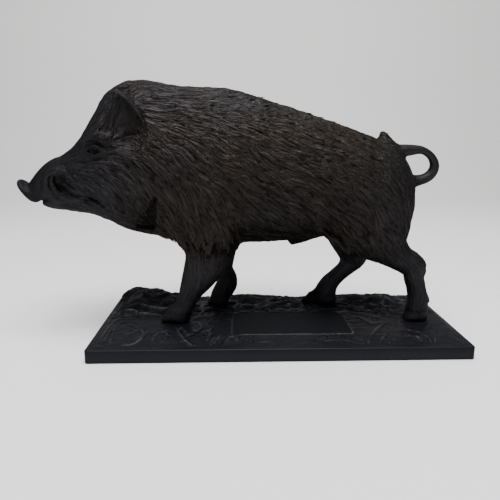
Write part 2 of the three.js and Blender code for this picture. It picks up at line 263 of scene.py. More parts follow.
@dataclass
class Clay:
    """A body built up by strokes, each blended into what is already there."""

    strokes: list[Stroke] = field(default_factory=list)

    def add(self, shape: Shape, blend: float) -> None:
        """Join a shape to the body over a fillet about blend wide."""
        self.strokes.append(Stroke(shape, blend, Work.ADD))

    def cut(self, shape: Shape, blend: float) -> None:
        """Carve a shape out of the body, with a soft edge about blend wide."""
        self.strokes.append(Stroke(shape, blend, Work.CUT))

    def distance(self, points: Array) -> Array:
        """Return the signed distances of points to the whole body.

        Args:
            points: Places, one per row.

        Returns:
            Distances, negative inside; far from every stroke a large number.
        """
        total = np.full(len(points), FAR_AWAY, dtype=points.dtype)
        for stroke in self.strokes:
            low, high = stroke.shape.reach()
            margin = WIDEST_BLEND if stroke.work is Work.ADD else stroke.blend
            near = ((points > low - margin) & (points < high + margin)).all(axis=1)
            if not near.any():
                continue
            held = total[near]
            value = stroke.shape.distance(points[near])
            if stroke.work is Work.ADD:
                step = np.maximum(stroke.blend - np.abs(held - value), 0.0) / stroke.blend
                total[near] = np.minimum(held, value) - step * step * stroke.blend / 4
            else:
                step = np.maximum(stroke.blend - np.abs(held + value), 0.0) / stroke.blend
                total[near] = np.maximum(held, -value) + step * step * stroke.blend / 4
        return total

    def slope(self, points: Array, step: float = 0.06) -> tuple[Array, Array]:
        """Return distances and gradients at points, from four samples round each.

        Args:
            points: Places, one per row.
            step: Spacing of the samples.

        Returns:
            The distances, and the gradients one per row.
        """
        corners = np.array([[1, -1, -1], [-1, -1, 1], [-1, 1, -1], [1, 1, 1]]) * step
        samples = [self.distance(points + corner) for corner in corners]
        gradient = sum(np.outer(value, corner) for value, corner in zip(samples, corners))
        return sum(samples) / 4, gradient / (4 * step * step)


@dataclass
class Surface:
    """Vertices in millimetres and faces of a closed mesh."""

    vertices: Array
    faces: Array

    def relaxed(self, clay: Clay, passes: int, limit: float) -> None:
        """Even the vertices out along the surface, so that the mesh shows no grid.

        Args:
            clay: Body whose surface the vertices stay on.
            passes: How often neighbours are averaged.
            limit: Longest move back onto the surface in one step.
        """
        start = self.faces.ravel()
        end = np.roll(self.faces, -1, axis=1).ravel()
        count = np.bincount(start, minlength=len(self.vertices))[:, None]
        for _ in range(passes):
            means = [np.bincount(start, self.vertices[end, k], len(self.vertices)) for k in range(3)]
            self.vertices = np.stack(means, axis=1) / count
            value, gradient = clay.slope(self.vertices)
            shift = -value[:, None] * gradient / np.maximum((gradient**2).sum(axis=1), 0.2)[:, None]
            length = np.linalg.norm(shift, axis=1, keepdims=True)
            self.vertices += shift * np.minimum(1.0, limit / np.maximum(length, 1e-9))

    def object(self, name: str) -> bpy.types.Object:
        """Make a Blender object of the mesh.

        Args:
            name: Name of the object and its mesh.

        Returns:
            The object, in metres at the origin and linked to the scene.
        """
        corners = self.faces.shape[1]
        mesh = bpy.data.meshes.new(name)
        mesh.vertices.add(len(self.vertices))
        mesh.vertices.foreach_set("co", (self.vertices * MM).astype(np.float32).ravel())
        mesh.loops.add(self.faces.size)
        mesh.loops.foreach_set("vertex_index", self.faces.astype(np.int32).ravel())
        mesh.polygons.add(len(self.faces))
        mesh.polygons.foreach_set("loop_start", np.arange(len(self.faces), dtype=np.int32) * corners)
        mesh.update(calc_edges=True)
        mesh.validate()
        piece = bpy.data.objects.new(name, mesh)
        bpy.context.scene.collection.objects.link(piece)
        return piece


@dataclass(frozen=True)
class Caster:
    """Turns a body of clay into a closed mesh on a cubic grid, one vertex in each crossed cell.

    Only blocks of cells whose middle is close to the surface, counted in blocks, are sampled finely.
    """

    low: tuple[float, float, float]
    high: tuple[float, float, float]
    cell: float
    block: int = 4
    close: float = 1.7

    def _values(self, distance: Callable[[Array], Array]) -> Array:
        """Sample a field on the grid, finely only where the surface can be.

        Args:
            distance: Field to sample.

        Returns:
            Field values on the grid's nodes.
        """
        low, size = np.array(self.low), np.array(self.high) - np.array(self.low)
        blocks = np.ceil(size / (self.cell * self.block)).astype(int)
        steps = [(np.arange(blocks[k]) + 0.5) * self.block * self.cell for k in range(3)]
        middles = [low[k] + steps[k] - self.cell / 2 for k in range(3)]
        centres = np.stack(np.meshgrid(*middles, indexing="ij"), axis=-1).reshape(-1, 3)
        rough = distance(centres.astype(np.float32)).reshape(blocks)
        values = rough
        for axis in range(3):
            values = np.repeat(values, self.block, axis=axis)
        near = np.abs(values) < self.close * self.block * self.cell
        where = np.nonzero(near)
        points = np.stack(where, axis=1) * self.cell + low
        values[where] = distance(points.astype(np.float32))
        return values

    def cast(self, distance: Callable[[Array], Array]) -> Surface:
        """Mesh the surface where a field is zero.

        Args:
            distance: Signed field, negative inside.

        Returns:
            The closed surface, in quads that face outward.
        """
        values = self._values(distance)
        inside = values < 0
        ends = (slice(0, -1), slice(1, None))
        count = sum(inside[corner].astype(np.int8) for corner in product(ends, ends, ends))
        cells = np.nonzero((count > 0) & (count < 8))
        total = np.zeros((len(cells[0]), 3))
        crossings = np.zeros(len(cells[0]))
        for axis in range(3):
            for u, v in ((0, 0), (1, 0), (0, 1), (1, 1)):
                shift = [0, 0, 0]
                shift[(axis + 1) % 3], shift[(axis + 2) % 3] = u, v
                start = tuple(cells[k] + shift[k] for k in range(3))
                end = tuple(start[k] + (k == axis) for k in range(3))
                a, b = values[start], values[end]
                crossed = (a < 0) != (b < 0)
                place = np.tile(np.array(shift, dtype=float), (len(a), 1))
                place[:, axis] = np.where(crossed, a / np.where(crossed, a - b, 1.0), 0.0)
                total += place * crossed[:, None]
                crossings += crossed
        vertices = (np.stack(cells, axis=1) + total / crossings[:, None]) * self.cell + np.array(self.low)
        number = np.full(values.shape, -1, dtype=np.int32)
        number[cells] = np.arange(len(cells[0]))
        return Surface(vertices, self._quads(inside, number))

    def _quads(self, inside: Array, number: Array) -> Array:
        """Return one quad for each crossed grid edge.

        Args:
            inside: Which grid nodes are inside the body.
            number: The vertex of each cell, or -1.

        Returns:
            Vertex numbers, four to a row.
        """
        quads = []
        for axis in range(3):
            second, third = (axis + 1) % 3, (axis + 2) % 3
            start = np.moveaxis(inside, axis, 0)[:-1]
            end = np.moveaxis(inside, axis, 0)[1:]
            crossed = np.moveaxis(start != end, 0, axis)
            at = np.stack(np.nonzero(crossed), axis=1)
            ring = []
            for u, v in ((1, 1), (0, 1), (0, 0), (1, 0)):
                place = at.copy()
                place[:, second] -= u
                place[:, third] -= v
                ring.append(number[tuple(place.T)])
            quad = np.stack(ring, axis=1)
            outward = inside[tuple(at.T)]
            quads.append(np.where(outward[:, None], quad, quad[:, ::-1]))
        return np.vstack(quads)


class Grain:
    """Seeded random lattice, read smoothly between its points and repeated in space."""

    def __init__(self, seed: int, spacing: float, count: int = 48) -> None:
        """Fill the lattice.

        Args:
            seed: Seed of the random numbers.
            spacing: Distance between lattice points.
            count: Lattice points along each side before it repeats.
        """
        self.spacing = spacing
        self.count = count
        draw = np.random.default_rng(seed)
        self.lattice = draw.uniform(-1.0, 1.0, (count, count, count)).astype(np.float32)

    def at(self, points: Array) -> Array:
        """Read the lattice smoothly.

        Args:
            points: Places, one per row.

        Returns:
            Random values between -1 and 1.
        """
        scaled = points / self.spacing
        base = np.floor(scaled).astype(np.int32)
        t = (scaled - base).astype(np.float32)
        t = t * t * (3 - 2 * t)
        total = np.zeros(len(points), dtype=np.float32)
        for i, j, k in product((0, 1), repeat=3):
            index = (base + [i, j, k]) % self.count
            share = np.abs(1 - i - t[:, 0]) * np.abs(1 - j - t[:, 1]) * np.abs(1 - k - t[:, 2])
            total += share * self.lattice[index[:, 0], index[:, 1], index[:, 2]]
        return total


@dataclass(frozen=True)
class Comb:
    """How the hair lies at one place in side view: degrees down from straight back."""

    x: float
    z: float
    down: float


COMBS = (
    # snout, bridge and forehead
    Comb(-200, 128, 10),
    Comb(-188, 140, -20),
    Comb(-176, 147, -8),
    Comb(-167, 156, -25),
    Comb(-159, 166, -50),
    Comb(-150, 179, -55),
    Comb(-145, 172, -38),
    Comb(-140, 192, -50),
    Comb(-125, 208, -12),
    # cheek, jaw and throat
    Comb(-180, 120, 5),
    Comb(-166, 134, 28),
    Comb(-158, 150, 5),
    Comb(-151, 134, 25),
    Comb(-142, 146, 20),
    Comb(-138, 127, 35),
    Comb(-129, 143, 30),
    Comb(-132, 158, 2),
    Comb(-120, 150, 32),
    Comb(-113, 139, 45),
    Comb(-117, 127, 60),
    Comb(-110, 120, 75),
    Comb(-131, 115, 50),
    Comb(-149, 111, 25),
    Comb(-137, 103, 38),
    Comb(-118, 98, 40),
    # ear and neck
    Comb(-131, 175, -65),
    Comb(-122, 190, -80),
    Comb(-125, 177, -80),
    Comb(-106, 169, 72),
    Comb(-124, 160, 5),
    Comb(-108, 157, 20),
    Comb(-100, 190, 2),
    Comb(-99, 181, 8),
    Comb(-98, 169, 22),
    Comb(-100, 147, 35),
    Comb(-97, 135, 55),
    Comb(-92, 105, 68),
    # mane and back
    Comb(-90, 206, 2),
    Comb(-50, 200, 4),
    Comb(-10, 192, 12),
    Comb(40, 176, 17),
    Comb(80, 165, 22),
    # shoulder
    Comb(-65, 172, 22),
    Comb(-62, 140, 38),
    Comb(-60, 112, 58),
    Comb(-58, 90, 74),
    # flank
    Comb(-25, 165, 22),
    Comb(-20, 135, 30),
    Comb(-18, 105, 46),
    Comb(-15, 84, 40),
    Comb(20, 150, 24),
    Comb(20, 120, 32),
    Comb(20, 92, 44),
    Comb(20, 80, 20),
    # haunch, swirling round to the rump
    Comb(55, 145, 28),
    Comb(55, 112, 36),
    Comb(55, 88, 50),
    Comb(85, 145, 34),
    Comb(85, 115, 48),
    Comb(82, 92, 58),
    Comb(108, 140, 56),
    Comb(115, 110, 72),
    Comb(108, 88, 72),
    # legs
    Comb(-60, 68, 88),
    Comb(-68, 48, 98),
    Comb(-80, 25, 112),
    Comb(-45, 50, 92),
    Comb(-46, 28, 100),
    Comb(95, 76, 50),
    Comb(110, 62, 40),
    Comb(120, 45, 86),
    Comb(122, 25, 90),
    Comb(72, 70, 74),
    Comb(74, 56, 88),
    Comb(62, 40, 130),
    Comb(48, 24, 122),
    # tail
    Comb(105, 158, 0),
    Comb(125, 157, 5),
    Comb(136, 145, 85),
    Comb(128, 132, 165),
)


@dataclass
class Coat:
    """The combed hair: where it lies, how wide its strands are and how deep they are cut."""

    lock_pitch: float = 3.6
    lock_length: float = 16.0
    strand_pitch: float = 2.2
    strand_length: float = 14.0
    wave_spacing: float = 10.0
    wave_degrees: float = 22.0
    depth: float = 0.85
    midplane: float = 16.0
    table_step: float = 3.0
    comb_blur: float = 60.0
    low: tuple[float, float] = (-228.0, 6.0)
    high: tuple[float, float] = (150.0, 222.0)
    hem_level: float = 79.0
    coronet_level: float = 21.0
    ear: Spot = Spot(-122.0, 186.0, 17.0, 20.0)
    # ear_hollow, eye_socket, lips and mouth_corner mark where shade is painted into the colour
    ear_hollow: Spot = Spot(-121.0, 182.0, 16.0, 22.0)
    eye: Spot = Spot(-146.0, 158.0, 13.0, 8.0)
    eye_socket: Spot = Spot(-146.0, 157.5, 10.0, 6.0)
    lips: Spot = Spot(-176.0, 128.0, 11.0, 8.5)
    mouth_corner: Spot = Spot(-152.0, 117.5, 6.0, 5.0)

    def __post_init__(self) -> None:
        """Work the combs out into a table over the side view."""
        xs = np.arange(self.low[0], self.high[0] + self.table_step, self.table_step)
        zs = np.arange(self.low[1], self.high[1] + self.table_step, self.table_step)
        grid = np.stack(np.meshgrid(xs, zs, indexing="ij"), axis=-1)
        total = np.zeros(grid.shape)
        for comb in COMBS:
            away = (grid[..., 0] - comb.x) ** 2 + (grid[..., 1] - comb.z) ** 2
            weight = 1.0 / (away + self.comb_blur) ** 2
            angle = math.radians(comb.down)
            total += weight[..., None] * np.array([math.cos(angle), -math.sin(angle)])
        self.table = (total / np.linalg.norm(total, axis=-1, keepdims=True)).astype(np.float32)
        self.wave = Grain(11, self.wave_spacing)

    def lie(self, points: Array, normals: Array) -> Array:
        """Return the direction of the hair at points, along the surface.

        Args:
            points: Places, one per row.
            normals: Outward unit normals there.

        Returns:
            Unit directions along the surface.
        """
        u = np.clip((points[:, 0] - self.low[0]) / self.table_step, 0, self.table.shape[0] - 1.001)
        v = np.clip((points[:, 2] - self.low[1]) / self.table_step, 0, self.table.shape[1] - 1.001)
        i, j = u.astype(int), v.astype(int)
        s, t = (u - i)[:, None], (v - j)[:, None]
        near = self.table[i, j] * (1 - t) + self.table[i, j + 1] * t
        far = self.table[i + 1, j] * (1 - t) + self.table[i + 1, j + 1] * t
        flat = near * (1 - s) + far * s
        turn = np.radians(self.wave_degrees) * self.wave.at(points)
        cos, sin = np.cos(turn), np.sin(turn)
        x = flat[:, 0] * cos - flat[:, 1] * sin
        z = flat[:, 0] * sin + flat[:, 1] * cos
        lying = np.stack([x, np.zeros_like(x), z], axis=1)
        lying -= (lying * normals).sum(axis=1, keepdims=True) * normals
        return lying / np.maximum(np.linalg.norm(lying, axis=1, keepdims=True), 1e-3)

    def streaks(self, points: Array, normals: Array, pitch: float, length: float, seed: int) -> Array:
        """Return a random value drawn out along the hair.

        Args:
            points: Places, one per row.
            normals: Outward unit normals there.
            pitch: Width of a strand and its groove.
            length: How far a strand runs.
            seed: Seed of the random numbers.

        Returns:
            Values with mean 0 and deviation 1.
        """
        grain = Grain(seed, pitch / 2)
        step = pitch / 3
        count = int(length / step)
        total = grain.at(points)
        for sign, reach in ((1.0, 0.35), (-1.0, 0.65)):
            place = points.copy()
            for n in range(int(count * reach)):
                place = place + sign * step * self.lie(place, normals)
                total = total + grain.at(place) * (1 - n / (count * reach))
        return (total - total.mean()) / total.std()

    def richness(self, points: Array) -> Array:
        """Tell how deep the hair is cut.

        Args:
            points: Places, one per row.

        Returns:
            Values from 0 on bare places to 1 on the flank.
        """
        x, z = points[:, 0], points[:, 2]
        head = 0.08 + 0.67 * smoothstep(x, -198.0, -172.0) + 0.25 * smoothstep(x, -160.0, -115.0)
        leg = 0.42 + 0.58 * smoothstep(z, 56.0, 84.0)
        hoof = smoothstep(z, 20.0, 24.0)
        tail = 1 - 0.85 * smoothstep(x, 96.0, 112.0) * smoothstep(z, 126.0, 134.0)
        outer = smoothstep(np.abs(points[:, 1] - self.midplane), 18.0, 22.0)
        to_ear = self.ear.away(x, z) - 0.02 * np.minimum(z - 178.0, 0.0)
        ear = 1 - 0.7 * (1 - smoothstep(to_ear, 0.75, 1.1)) * outer
        eye = 0.25 + 0.75 * smoothstep(self.eye.away(x, z), 0.7, 1.2)
        return head * leg * hoof * tail * ear * eye

    def over_foreleg(self, x: Array) -> Array:
        """Return 1 over the forelegs, where the long hair hangs down to the hem."""
        return smoothstep(x, -104.0, -96.0) * (1 - smoothstep(x, -38.0, -28.0))

    def hems(self, points: Array, ragged: Array) -> Array:
        """Step the coat where long hair ends: over the forelegs and over the hooves.

        Args:
            points: Places, one per row.
            ragged: Random values drawn out along the hair, that shift the hem.

        Returns:
            Heights: below 0 on the bare hooves, 0 on most of the coat, most over the forelegs.
        """
        x, z = points[:, 0], points[:, 2]
        shoulder = smoothstep(z + 3.4 * ragged, self.hem_level + 0.5, self.hem_level + 2.5)
        coronet = smoothstep(z + 0.7 * ragged, self.coronet_level, self.coronet_level + 1.6)
        over = 1 - smoothstep(z, 84.0, 108.0)
        return 1.4 * self.over_foreleg(x) * shoulder * over + 0.45 * coronet - 0.45

    def loose(self, points: Array) -> Array:
        """Tell how thickly single locks stand off the coat.

        Args:
            points: Places, one per row.

        Returns:
            Shares of the full density, from 0 to 1.
        """
        x, z = points[:, 0], points[:, 2]
        out = np.abs(points[:, 1] - self.midplane)
        hem = within(x, -96, -34, 6) * within(z, 84, 98, 5)
        jowl = within(x, -124, -105, 5) * within(z, 98, 126, 6)
        belly = within(x, -30, 44, 8) * within(z, 84, 96, 4) * smoothstep(out, 10.0, 22.0)
        mane = within(x, -118, -10, 8) * within(z, 176.0, 200.0, 6.0)
        flank = within(x, -100, 104, 8) * within(z, 98.0, 196.0, 6.0)
        return np.clip(0.5 * hem + 0.6 * jowl + 0.4 * belly + 0.2 * mane + 0.3 * flank, 0.0, 1.0)

    def painted_shade(self, points: Array, ragged: Array) -> Array:
        """Tell where shade is painted: eye, ear, lips, belly and under the hem; the snout is darkened too.

        Args:
            points: Places, one per row.
            ragged: Random values drawn out along the hair, that shift the hem.

        Returns:
            Values from 0 where no shade is painted to about 0.6.
        """
        # Painted shade: darker in the eye, the ear's hollow, the lips and mouth's corner, on the belly's
        # underside and under the hem's overhang
        x, z = points[:, 0], points[:, 2]
        snout = 1 - smoothstep(x, -204.0, -184.0)
        under_hem = within(z + 3.4 * ragged, self.hem_level - 3.5, self.hem_level, 2.0)
        hem = self.over_foreleg(x) * under_hem
        outer = smoothstep(np.abs(points[:, 1] - self.midplane), 15.0, 21.0)
        ear = (1 - smoothstep(self.ear_hollow.away(x, z), 0.7, 1.05)) * outer
        belly = within(x, -38.0, 40.0, 10.0) * (1 - smoothstep(z + 2.0 * ragged, 86.0, 99.0))
        face = 0.5 * self.eye_socket.share(x, z) + 0.5 * self.lips.share(x, z)
        face = face + 0.35 * self.mouth_corner.share(x, z) + 0.35 * snout
        return face + 0.5 * belly + 0.35 * ear + 0.6 * hem

    def warmth(self, points: Array) -> Array:
        """Tell how brown the patina is: most on the flank, least on the head, legs and rump.

        Args:
            points: Places, one per row.

        Returns:
            Values from 0.3, nearly all cool, to 1.6.
        """
        x, z = points[:, 0], points[:, 2]
        body = smoothstep(x, -150.0, -95.0) * (1 - 0.6 * smoothstep(x, 70.0, 115.0))
        side = smoothstep(z, 30.0, 100.0) * (1 - 0.5 * smoothstep(z, 172.0, 196.0))
        return 0.3 + 1.3 * body * side

    def relief(self, points: Array, normals: Array) -> tuple[Array, Array]:
        """Carve the hair.

        The side that stands to the wall is left plainer, with broad locks only.

        Args:
            points: Places, one per row.
            normals: Outward unit normals there.

        Returns:
            Heights with the hems in millimetres, and the heights alone less the painted shade, which
            set the crest values of the finish.
        """
        seen = 1 - 0.85 * smoothstep(points[:, 1], self.midplane + 8.0, self.midplane + 22.0)
        locks = self.streaks(points, normals, self.lock_pitch, self.lock_length, 21)
        strands = self.streaks(points, normals, self.strand_pitch, self.strand_length, 22)
        grooves = np.minimum(np.abs(strands), 1.3) ** 0.75 - 0.72
        fine = seen * (0.85 * grooves + 0.2 * np.tanh(strands))
        height = 0.28 * np.tanh(1.2 * locks) - 0.05 + fine
        carved = self.depth * self.richness(points) * height
        # The crest values are the carved heights less the painted shade
        return carved + self.hems(points, locks), carved - self.painted_shade(points, locks)


@dataclass
class Boar:
    """The animal: one casting with its carved coat."""

    sole: float
    midplane: float = 16.0
    fore_spread: float = 22.0
    hind_spread: float = 22.0
    cell: float = 0.8
    margin: float = 5.0
    plain_beyond: float = 18.0
    plain_share: float = 0.22
    triangles: int = 158_000
    coat: Coat = field(default_factory=Coat)

    def chain(self, stations: Sequence[Station], side: Side | None = None, steps: int = 3) -> Chain:
        """Return a chain on the midplane, or on one side of it."""
        return Chain(stations, self.midplane, side.value if side else 0, steps)

    def torso(self, clay: Clay) -> None:
        """Model the barrel, rump and the high mane over the shoulders.

        Args:
            clay: Body to work on.
        """
        barrel = [
            Station(-100, 146, 59, 35),
            Station(-62, 140.5, 63, 39),
            Station(-20, 138, 60, 40),
            Station(20, 133.3, 52.8, 38.5),
            Station(52, 130, 45.6, 36),
            Station(74.5, 122, 45.3, 34),
        ]
        mane = [
            Station(-121.8, 184, 26.2, 15),
            Station(-112, 186.4, 26.4, 16),
            Station(-84, 181, 26.3, 17),
            Station(-46, 185.5, 21.4, 13),
            Station(-24, 182, 17.5, 12),
        ]
        buttocks = [Station(78, 112, 42, 33), Station(84.5, 96, 33, 29)]
        clay.add(self.chain(barrel), 1.0)
        clay.add(self.chain(mane), 8.0)
        clay.add(self.chain(buttocks), 6.0)

    def head(self, clay: Clay) -> None:
        """Model the neck, the wedge of the head, the snout's disc and the lower jaw.

        Args:
            clay: Body to work on.
        """
        wedge = [
            Station(-104, 146, 60, 34),
            Station(-130, 139.5, 43, 31),
            Station(-150, 134.5, 32, 24),
            Station(-170, 130.5, 24.5, 17.5),
            Station(-181, 131.2, 19.6, 14.2),
            Station(-189.5, 130.2, 15, 12),
            Station(-196.4, 127.4, 11.6, 10.6),
            Station(-204.5, 122.6, 8.4, 8.6),
        ]
        jaw = [
            Station(-196.4, 112.6, 3.2, 5.4),
            Station(-192, 113.0, 5.2, 6.6),
            Station(-186, 114, 7.2, 8.2),
            Station(-170, 115, 9.2, 12),
            Station(-148, 114, 12.4, 18),
            Station(-126, 112, 17.4, 24),
        ]
        clay.add(self.chain(wedge), 10.0)
        clay.add(Disc((-211.4, self.midplane, 123.2), (-0.7915, 0.0, -0.6112), 11.2, 2.0), 5.0)
        clay.add(self.chain(jaw), 2.6)

    def foreleg(self, clay: Clay, side: Side) -> None:
        """Model the shoulder, foreleg, knee and hoof of one front leg.

        Args:
            clay: Body to work on.
            side: Side to work on.
        """
        spread = self.fore_spread
        if side is Side.NEAR:
            leg = [
                Station(-58, 108, 34, 18, 19),
                Station(-56.5, 84, 24, 15, 20),
                Station(-58, 71, 19, 12, 21),
                Station(-62.4, 60, 16.2, 10.5, spread),
                Station(-67.6, 50, 13, 9.5, spread),
                Station(-72.4, 41, 10.2, 9, spread),
                Station(-76, 33, 8.4, 8.2, spread),
                Station(-79.2, 25, 8.4, 8.6, spread),
                Station(-83.2, 17, 9.6, 9.6, spread),
            ]
            toe = [
                Station(-84, 19, 8, 9, spread),
                Station(-90, 16.4, 6.5, 7.8, spread),
                Station(-95, 14.2, 4.6, 6, spread),
                Station(-98.4, 13.2, 2.2, 3.6, spread),
            ]
        else:
            leg = [
                Station(-58, 108, 32, 18, 19),
                Station(-54, 82, 22, 14, 20),
                Station(-50, 68, 16, 11.5, 21),
                Station(-47.4, 57, 11, 9.5, spread),
                Station(-45.8, 47, 8.2, 8.2, spread),
                Station(-42.6, 38, 8.8, 8.2, spread),
                Station(-43.8, 31, 9.8, 8.4, spread),
                Station(-48.6, 23, 9.2, 8.8, spread),
                Station(-51, 17, 9.2, 9.2, spread),
            ]
            toe = [
                Station(-49, 17, 7, 8.6, spread),
                Station(-55, 13.5, 5.6, 7.2, spread),
                Station(-59, 12.4, 3.8, 5, spread),
            ]
        dewclaw = (-66, 33) if side is Side.NEAR else (-33, 35)
        clay.add(self.chain(leg, side), 9.0)
        clay.add(self.chain(toe, side), 3.0)
        self.foot(clay, side, toe[-1], dewclaw)

    def foot(self, clay: Clay, side: Side, tip: Station, dewclaw: tuple[float, float]) -> None:
        """Split a hoof into its two toes and set the dewclaws behind it.

        Args:
            clay: Body to work on.
            side: Side of the leg.
            tip: Foremost station of the hoof.
            dewclaw: x and z of the tips of the dewclaws.
        """
        cleft = [Station(tip.x - 4, 15, 5, 0.7, tip.off), Station(tip.x + 4, 16, 4.4, 0.7, tip.off)]
        clay.cut(self.chain(cleft, side), 0.8)
        x, z = dewclaw
        for shift in (-4.2, 4.2):
            off = tip.off + shift
            claw = [
                Station(x - 7, z + 5, 3, 0, off),
                Station(x - 4, z + 1.6, 2.3, 0, off),
                Station(x - 2, z - 1, 1.2, 0, off),
            ]
            clay.add(self.chain(claw, side), 1.6)

    def hindleg(self, clay: Clay, side: Side) -> None:
        """Model the haunch, hock, cannon and hoof of one hind leg; the far one is set forward.

        Args:
            clay: Body to work on.
            side: Side to work on.
        """
        spread = self.hind_spread
        if side is Side.NEAR:
            leg = [
                Station(74, 116, 38, 17, 16),
                Station(81.5, 97, 30, 18, 18),
                Station(88, 84.5, 20.8, 16, 19),
                Station(98.6, 73, 13.8, 12, 20),
                Station(108, 65.8, 11, 9.5, 21),
                Station(117.2, 59.8, 10.7, 8.6, spread),
                Station(118.4, 50, 8.4, 8.2, spread),
                Station(121.4, 39.5, 8, 7.8, spread),
                Station(123.4, 29, 8.7, 8, spread),
                Station(122.4, 18, 9.6, 9, spread),
            ]
            toe = [
                Station(125, 16, 7.5, 8.6, spread),
                Station(118, 13.5, 6.4, 8, spread),
                Station(113.5, 12, 4, 5.4, spread),
            ]
        else:
            leg = [
                Station(72, 112, 37, 17, 16),
                Station(72, 95, 28, 17, 18),
                Station(70.4, 80, 19.6, 14.5, 19),
                Station(72.6, 68.5, 14.8, 11, 20),
                Station(75.6, 59.5, 13, 9, 21),
                Station(70.4, 49, 8.4, 8.4, spread),
                Station(61.4, 40, 7.4, 7.8, spread),
                Station(54, 32, 8.6, 8, spread),
                Station(50.4, 23, 10.2, 8.8, spread),
                Station(51.5, 17, 9.8, 9, spread),
            ]
            toe = [
                Station(52, 17, 8, 8.6, spread),
                Station(42, 18.4, 7.4, 7.8, spread),
                Station(34.5, 15.6, 5.2, 6, spread),
                Station(29.6, 13.8, 2.4, 3.6, spread),
            ]
        dewclaw = (133, 31) if side is Side.NEAR else (62, 33)
        clay.add(self.chain(leg, side), 9.0)
        clay.add(self.chain(toe, side), 3.0)
        self.foot(clay, side, toe[-1], dewclaw)

    def trimmings(self, clay: Clay) -> None:
        """Model the belly sheath, the tuft over the tail root and the curled tail.

        Args:
            clay: Body to work on.
        """
        sheath = [Station(36, 90, 7, 8), Station(22, 81.5, 5.2, 6), Station(15.5, 78, 3, 3.4)]
        tuft = [Station(93.5, 159.5, 8), Station(91.6, 166.4, 4.6), Station(89.8, 170.6, 2.0)]
        tail = [
            Station(90, 155, 8.6),
            Station(103, 156, 6),
            Station(114, 157, 4.8),
            Station(125, 157, 3.3),
            Station(133.6, 151.6, 3.3),
            Station(137, 143.6, 4),
            Station(134.2, 136.4, 4.3),
            Station(127.4, 132.2, 4.5),
            Station(118, 130.5, 5.2),
        ]
        rump = [Station(94, 151, 9), Station(99.5, 143, 7.5), Station(100, 134, 8)]
        clay.add(self.chain(rump), 8.0)
        fold = [
            Station(34, 93, 2.4, 0, 26),
            Station(40, 88.5, 2.2, 0, 25),
            Station(49, 82, 2, 0, 25),
            Station(60, 72.5, 1.8, 0, 23),
        ]
        for side in Side:
            clay.add(self.chain(fold, side), 5.0)
        clay.add(self.chain(sheath), 4.0)
        clay.add(self.chain(tuft), 4.0)
        clay.add(self.chain(tail), 4.0)

    def laid(self, clay: Clay, side: Side, stations: Sequence[Station], steps: int = 3) -> Chain:
        """Lay a chain along the skin of one side.

        Args:
            clay: Body as modelled so far.
            side: Side to work on.
            stations: Stations whose off is counted outward from the skin.
            steps: Links made between two stations.

        Returns:
            The chain, with its stations moved out to the skin.
        """
        outside, inside = np.full(len(stations), 60.0), np.zeros(len(stations))
        for _ in range(14):
            middle = (outside + inside) / 2
            rows = [(s.x, self.midplane + side.value * off, s.z) for s, off in zip(stations, middle)]
            solid = clay.distance(np.array(rows)) < 0
            outside, inside = np.where(solid, outside, middle), np.where(solid, middle, inside)
        moved = [Station(s.x, s.z, s.r, s.w, s.off + skin) for s, skin in zip(stations, outside)]
        return self.chain(moved, side, steps)

    def face(self, clay: Clay, side: Side) -> None:
        """Model the cheek, brow, eye, lip, mouth and tusk of one side.

        Args:
            clay: Body to work on.
            side: Side to work on.
        """
        cheek = [Station(-140, 124, 17, 11, 14), Station(-118, 122, 22, 12, 22)]
        clay.add(self.chain(cheek, side), 12.0)
        brow = [
            Station(-154, 163, 2.4, 0, -1.6),
            Station(-145, 167, 3.6, 0, -0.8),
            Station(-136, 166.8, 3.6, 0, -0.6),
            Station(-128, 163.6, 2.6, 0, -1.6),
        ]
        clay.add(self.laid(clay, side, brow), 3.0)
        self.eye(clay, side)
        self.mouth(clay, side)
        self.folds(clay, side)

    def eye(self, clay: Clay, side: Side) -> None:
        """Model the eye between its two lids, with the crease over the upper one.

        Args:
            clay: Body to work on.
            side: Side to work on.
        """
        hollow = [Station(-150.6, 157.4, 3.2, 2.6, 0.4), Station(-142, 156.4, 3.2, 2.6, 0.4)]
        ball = [Station(-147.4, 156.6, 3.0, 0, -2.8), Station(-145, 156.6, 3.0, 0, -2.6)]
        upper = [
            Station(-154, 156.6, 0.9, 0, -0.3),
            Station(-150, 159.3, 1.5, 0, 0.3),
            Station(-145, 159.8, 1.7, 0, 0.5),
            Station(-138.6, 156.4, 1.2, 0, -0.2),
        ]
        lower = [
            Station(-153, 155.4, 0.8, 0, -0.2),
            Station(-146.5, 153.0, 1.2, 0, 0.2),
            Station(-139.4, 155.2, 1.0, 0, -0.1),
        ]
        crease = [
            Station(-156, 158.8, 0.9, 0, 0.0),
            Station(-151.4, 162, 1.7, 0, -0.3),
            Station(-145.5, 162.6, 1.9, 0, -0.5),
            Station(-136.6, 158.6, 1.2, 0, 0.0),
        ]
        bag = [
            Station(-150, 150.6, 0.8, 0, 0.1),
            Station(-143.5, 150, 1.1, 0, 0.0),
            Station(-136.6, 153, 0.8, 0, 0.1),
        ]
        work = (
            (clay.cut, crease, 1.4),
            (clay.cut, hollow, 1.4),
            (clay.add, ball, 0.4),
            (clay.add, upper, 0.8),
            (clay.add, lower, 0.8),
            (clay.cut, bag, 1.0),
        )
        chains = [self.laid(clay, side, stations) for _, stations, _ in work]
        for (apply, _, blend), chain in zip(work, chains):
            apply(chain, blend)
        pupil = [Station(-147.2, 156.5, 1.2, 0, -0.3), Station(-145.8, 156.5, 1.2, 0, -0.3)]
        clay.cut(self.laid(clay, side, pupil), 0.5)

